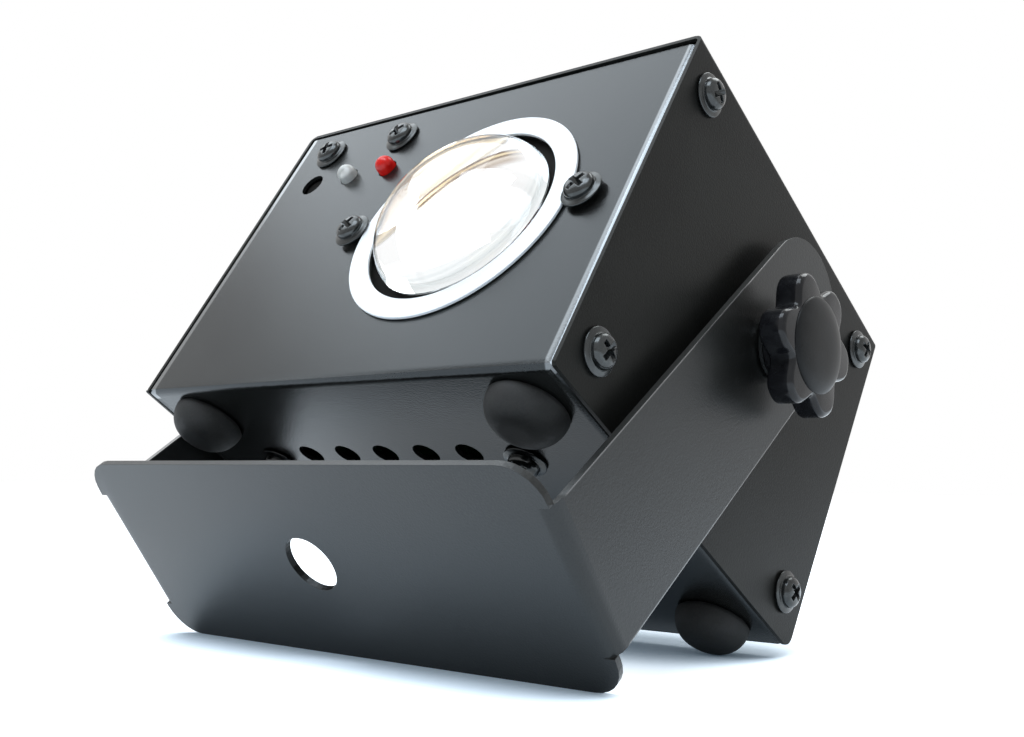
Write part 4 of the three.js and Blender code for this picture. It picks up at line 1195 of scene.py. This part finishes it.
def speedKnob():
    start, end = speed["start"], speed["start"] + speed["height"]
    core = speed["topRadius"] - speed["ribDepth"]
    profile = filleted([
        (0, start, 0), (speed["radius"], start, 0.3), (speed["radius"], start + speed["skirtHeight"], 0.4),
        (speed["topRadius"], start + speed["coneHeight"], 0.4), (core, start + speed["ribStart"], 0.1),
        (core, end, 0.5), (0, end, 0),
    ])
    finished("speed_knob_body", turnedMesh("speedKnob", profile, speedPlace, speed["sides"]),
             mattPlastic, "speed_control", "matt_black_plastic", "speed_knob")
    width = 2 * math.pi * speed["topRadius"] / speed["ribs"] * speed["ribShare"]
    length = speed["ribLength"]
    ribSize = (speed["ribDepth"] * 2, width, length)
    rib = roundedBlock("knobRib", ribSize, speed["ribEdge"], 3, Matrix.Scale(mm, 4))
    places = []
    for i in range(speed["ribs"]):
        turn = Matrix.Rotation(2 * math.pi * (i + 0.5) / speed["ribs"], 4, "Z")
        places.append(speedPlace @ turn @ at(core, 0, end - length / 2 - speed["ribGap"]))
    ribs = copiesMesh("knobRibs", rib, places, mattPlastic)
    finished("speed_knob_ribs", ribs, mattPlastic, "speed_control", "matt_black_plastic")
    first, last = speed["pointerStart"], core - speed["pointerGap"]
    pointerSize = (speed["pointerWidth"], last - first, speed["pointerThickness"])
    middle = (0, -(first + last) / 2, end)
    pointer = roundedBlock("pointer", pointerSize, speed["pointerEdge"], 2, speedPlace, middle)
    finished("speed_knob_pointer", pointer, whiteTrim, "speed_control", "white_trim")


speedKnob()
print("speed control made")


# Inlet pins: plated sleeves over the solid's own pins
inlet = {
    "x": -28,
    "z": -12,
    "faceY": 54.7,
    "depth": 17,
    "recess": 1.9,
    "pinSpan": 14,
    "pinOffset": 2,
    "pinThickness": 2.16,
    "pinWidth": 4.16,
    "pinEdge": 0.4,
}


def inletPins():
    length = inlet["depth"] - inlet["recess"]
    pinSize = (inlet["pinThickness"], length, inlet["pinWidth"])
    pin = roundedBlock("inletPin", pinSize, inlet["pinEdge"], 3, Matrix.Scale(mm, 4))
    middleY = inlet["faceY"] - inlet["recess"] - length / 2
    half, drop = inlet["pinSpan"] / 2, inlet["pinOffset"]
    places = []
    for x, z in ((-half, -drop), (half, -drop), (0, drop)):
        places.append(housing @ at(inlet["x"] + x, middleY, inlet["z"] + z))
    pins = copiesMesh("inletPins", pin, places, zinc)
    finished("inlet_pins", pins, zinc, "housing_body", "zinc_steel")


inletPins()
print("inlet pins made")


# CAD nodes that stay as they are
keptFinish = {
    # the microphone in the shade black: painted shade in its hole
    "microphone": shadeBlack,
    "driver_capacitor": mattPlastic,
    "speed_shaft": aluminium,
    "speed_potentiometer": zinc,
}
for nodeName, node in frame["nodes"].items():
    if nodeName not in replacedNodes:
        finish = keptFinish.get(nodeName, zinc)
        for slotOfNode in node.material_slots:
            slotOfNode.material = finish
print("inner pieces finished")


# Floor, light and camera
studio = {
    "floorReach": 6.0,
    "floorColour": (0.84, 0.92, 0.99),
    "floorRoughness": 0.9,
    "floorSheen": 0.1,
    "shadowTints": [
        (0.0, (0.01, 0.02, 0.03)), (0.35, (0.12, 0.16, 0.20)),
        (0.62, (0.74, 0.86, 0.97)), (0.85, (0.90, 0.96, 1.0)), (1.0, (1, 1, 1)),
    ],
    "shadowReach": 0.03,
    "shadowSamples": 8,
    "fill": 0.2,
    "fillColour": (0.90, 0.95, 1.0),
    "lampsAim": (0, 0, 0.06),
}


def makeFloor():
    reach = studio["floorReach"]
    mesh = bpy.data.meshes.new("studioFloor")
    corners = [(-reach, -reach, 0), (reach, -reach, 0), (reach, reach, 0), (-reach, reach, 0)]
    mesh.from_pydata(corners, [], [(0, 1, 2, 3)])
    floor = placedObject("studioFloor", mesh)
    material, surface = newMaterial("studioFloorWhite")
    setInputs(surface, {
        "Base Color": (*studio["floorColour"], 1),
        "Roughness": studio["floorRoughness"],
        "Specular IOR Level": studio["floorSheen"],
    })
    occlusion = material.node_tree.nodes.new("ShaderNodeAmbientOcclusion")
    occlusion.samples = studio["shadowSamples"]
    occlusion.inputs["Distance"].default_value = studio["shadowReach"]
    tint = rampOf(material, occlusion.outputs["AO"], studio["shadowTints"])
    linkTo(material, tint, surface.inputs["Emission Color"])
    linkTo(material, seenDirectly(material.node_tree), surface.inputs["Emission Strength"])
    mesh.materials.append(material)


def seenDirectly(tree):
    # 1 for what the camera, gloss and glass see, 0 for what lights the object
    path = tree.nodes.new("ShaderNodeLightPath").outputs
    first = mathOf(tree, "MAXIMUM", path["Is Camera Ray"], path["Is Glossy Ray"])
    return mathOf(tree, "MAXIMUM", first, path["Is Transmission Ray"])


def makeWorld():
    world = bpy.data.worlds.new("studio")
    world.use_nodes = True
    scene.world = world
    tree = world.node_tree
    tree.nodes.clear()
    output = tree.nodes.new("ShaderNodeOutputWorld")
    mix = tree.nodes.new("ShaderNodeMixShader")
    tree.links.new(seenDirectly(tree), mix.inputs["Fac"])
    for place, colour, strength in ((1, studio["fillColour"], studio["fill"]), (2, (1, 1, 1), 1)):
        background = tree.nodes.new("ShaderNodeBackground")
        setInputs(background, {"Color": (*colour, 1), "Strength": strength})
        tree.links.new(background.outputs["Background"], mix.inputs[place])
    tree.links.new(mix.outputs["Shader"], output.inputs["Surface"])


softboxes = {
    "keyLeft": {
        "place": (-0.718, -0.101, 1.316), "size": (1.1, 1.1), "power": 9.0, "colour": (0.84, 0.93, 1.0),
    },
    "topFront": {
        "place": (0.15, -0.589, 1.329), "size": (1.25, 0.7), "power": 19, "colour": (0.80, 0.90, 1.0),
    },
    "rearRight": {
        "place": (0.208, 0.776, 1.207), "size": (0.7, 0.7), "power": 7, "colour": (0.92, 0.97, 0.98),
    },
}


def makeSoftboxes():
    aim = Vector(studio["lampsAim"])
    for name, box in softboxes.items():
        light = bpy.data.lights.new(name, "AREA")
        light.shape = "RECTANGLE"
        light.size, light.size_y = box["size"]
        light.energy = box["power"]
        light.color = box["colour"]
        lamp = placedObject(name, light)
        lamp.location = box["place"]
        lamp.rotation_euler = (aim - lamp.location).to_track_quat("-Z", "Y").to_euler()


viewpoint = {
    "place": (0.20093618, -0.23505181, 0.03928900),
    "turn": (1.66364825, -0.01363030, 0.70312693),
    "focalLength": 42.894,
    "sensor": 36,
    "nearest": 0.01,
}


def makeCamera():
    data = bpy.data.cameras.new("photoView")
    data.lens = viewpoint["focalLength"]
    data.sensor_width = viewpoint["sensor"]
    data.clip_start = viewpoint["nearest"]
    camera = placedObject("photoView", data)
    camera.location = viewpoint["place"]
    camera.rotation_euler = viewpoint["turn"]
    scene.camera = camera


makeFloor()
makeWorld()
makeSoftboxes()
makeCamera()
scene.view_settings.view_transform = "Standard"
print("studio made")
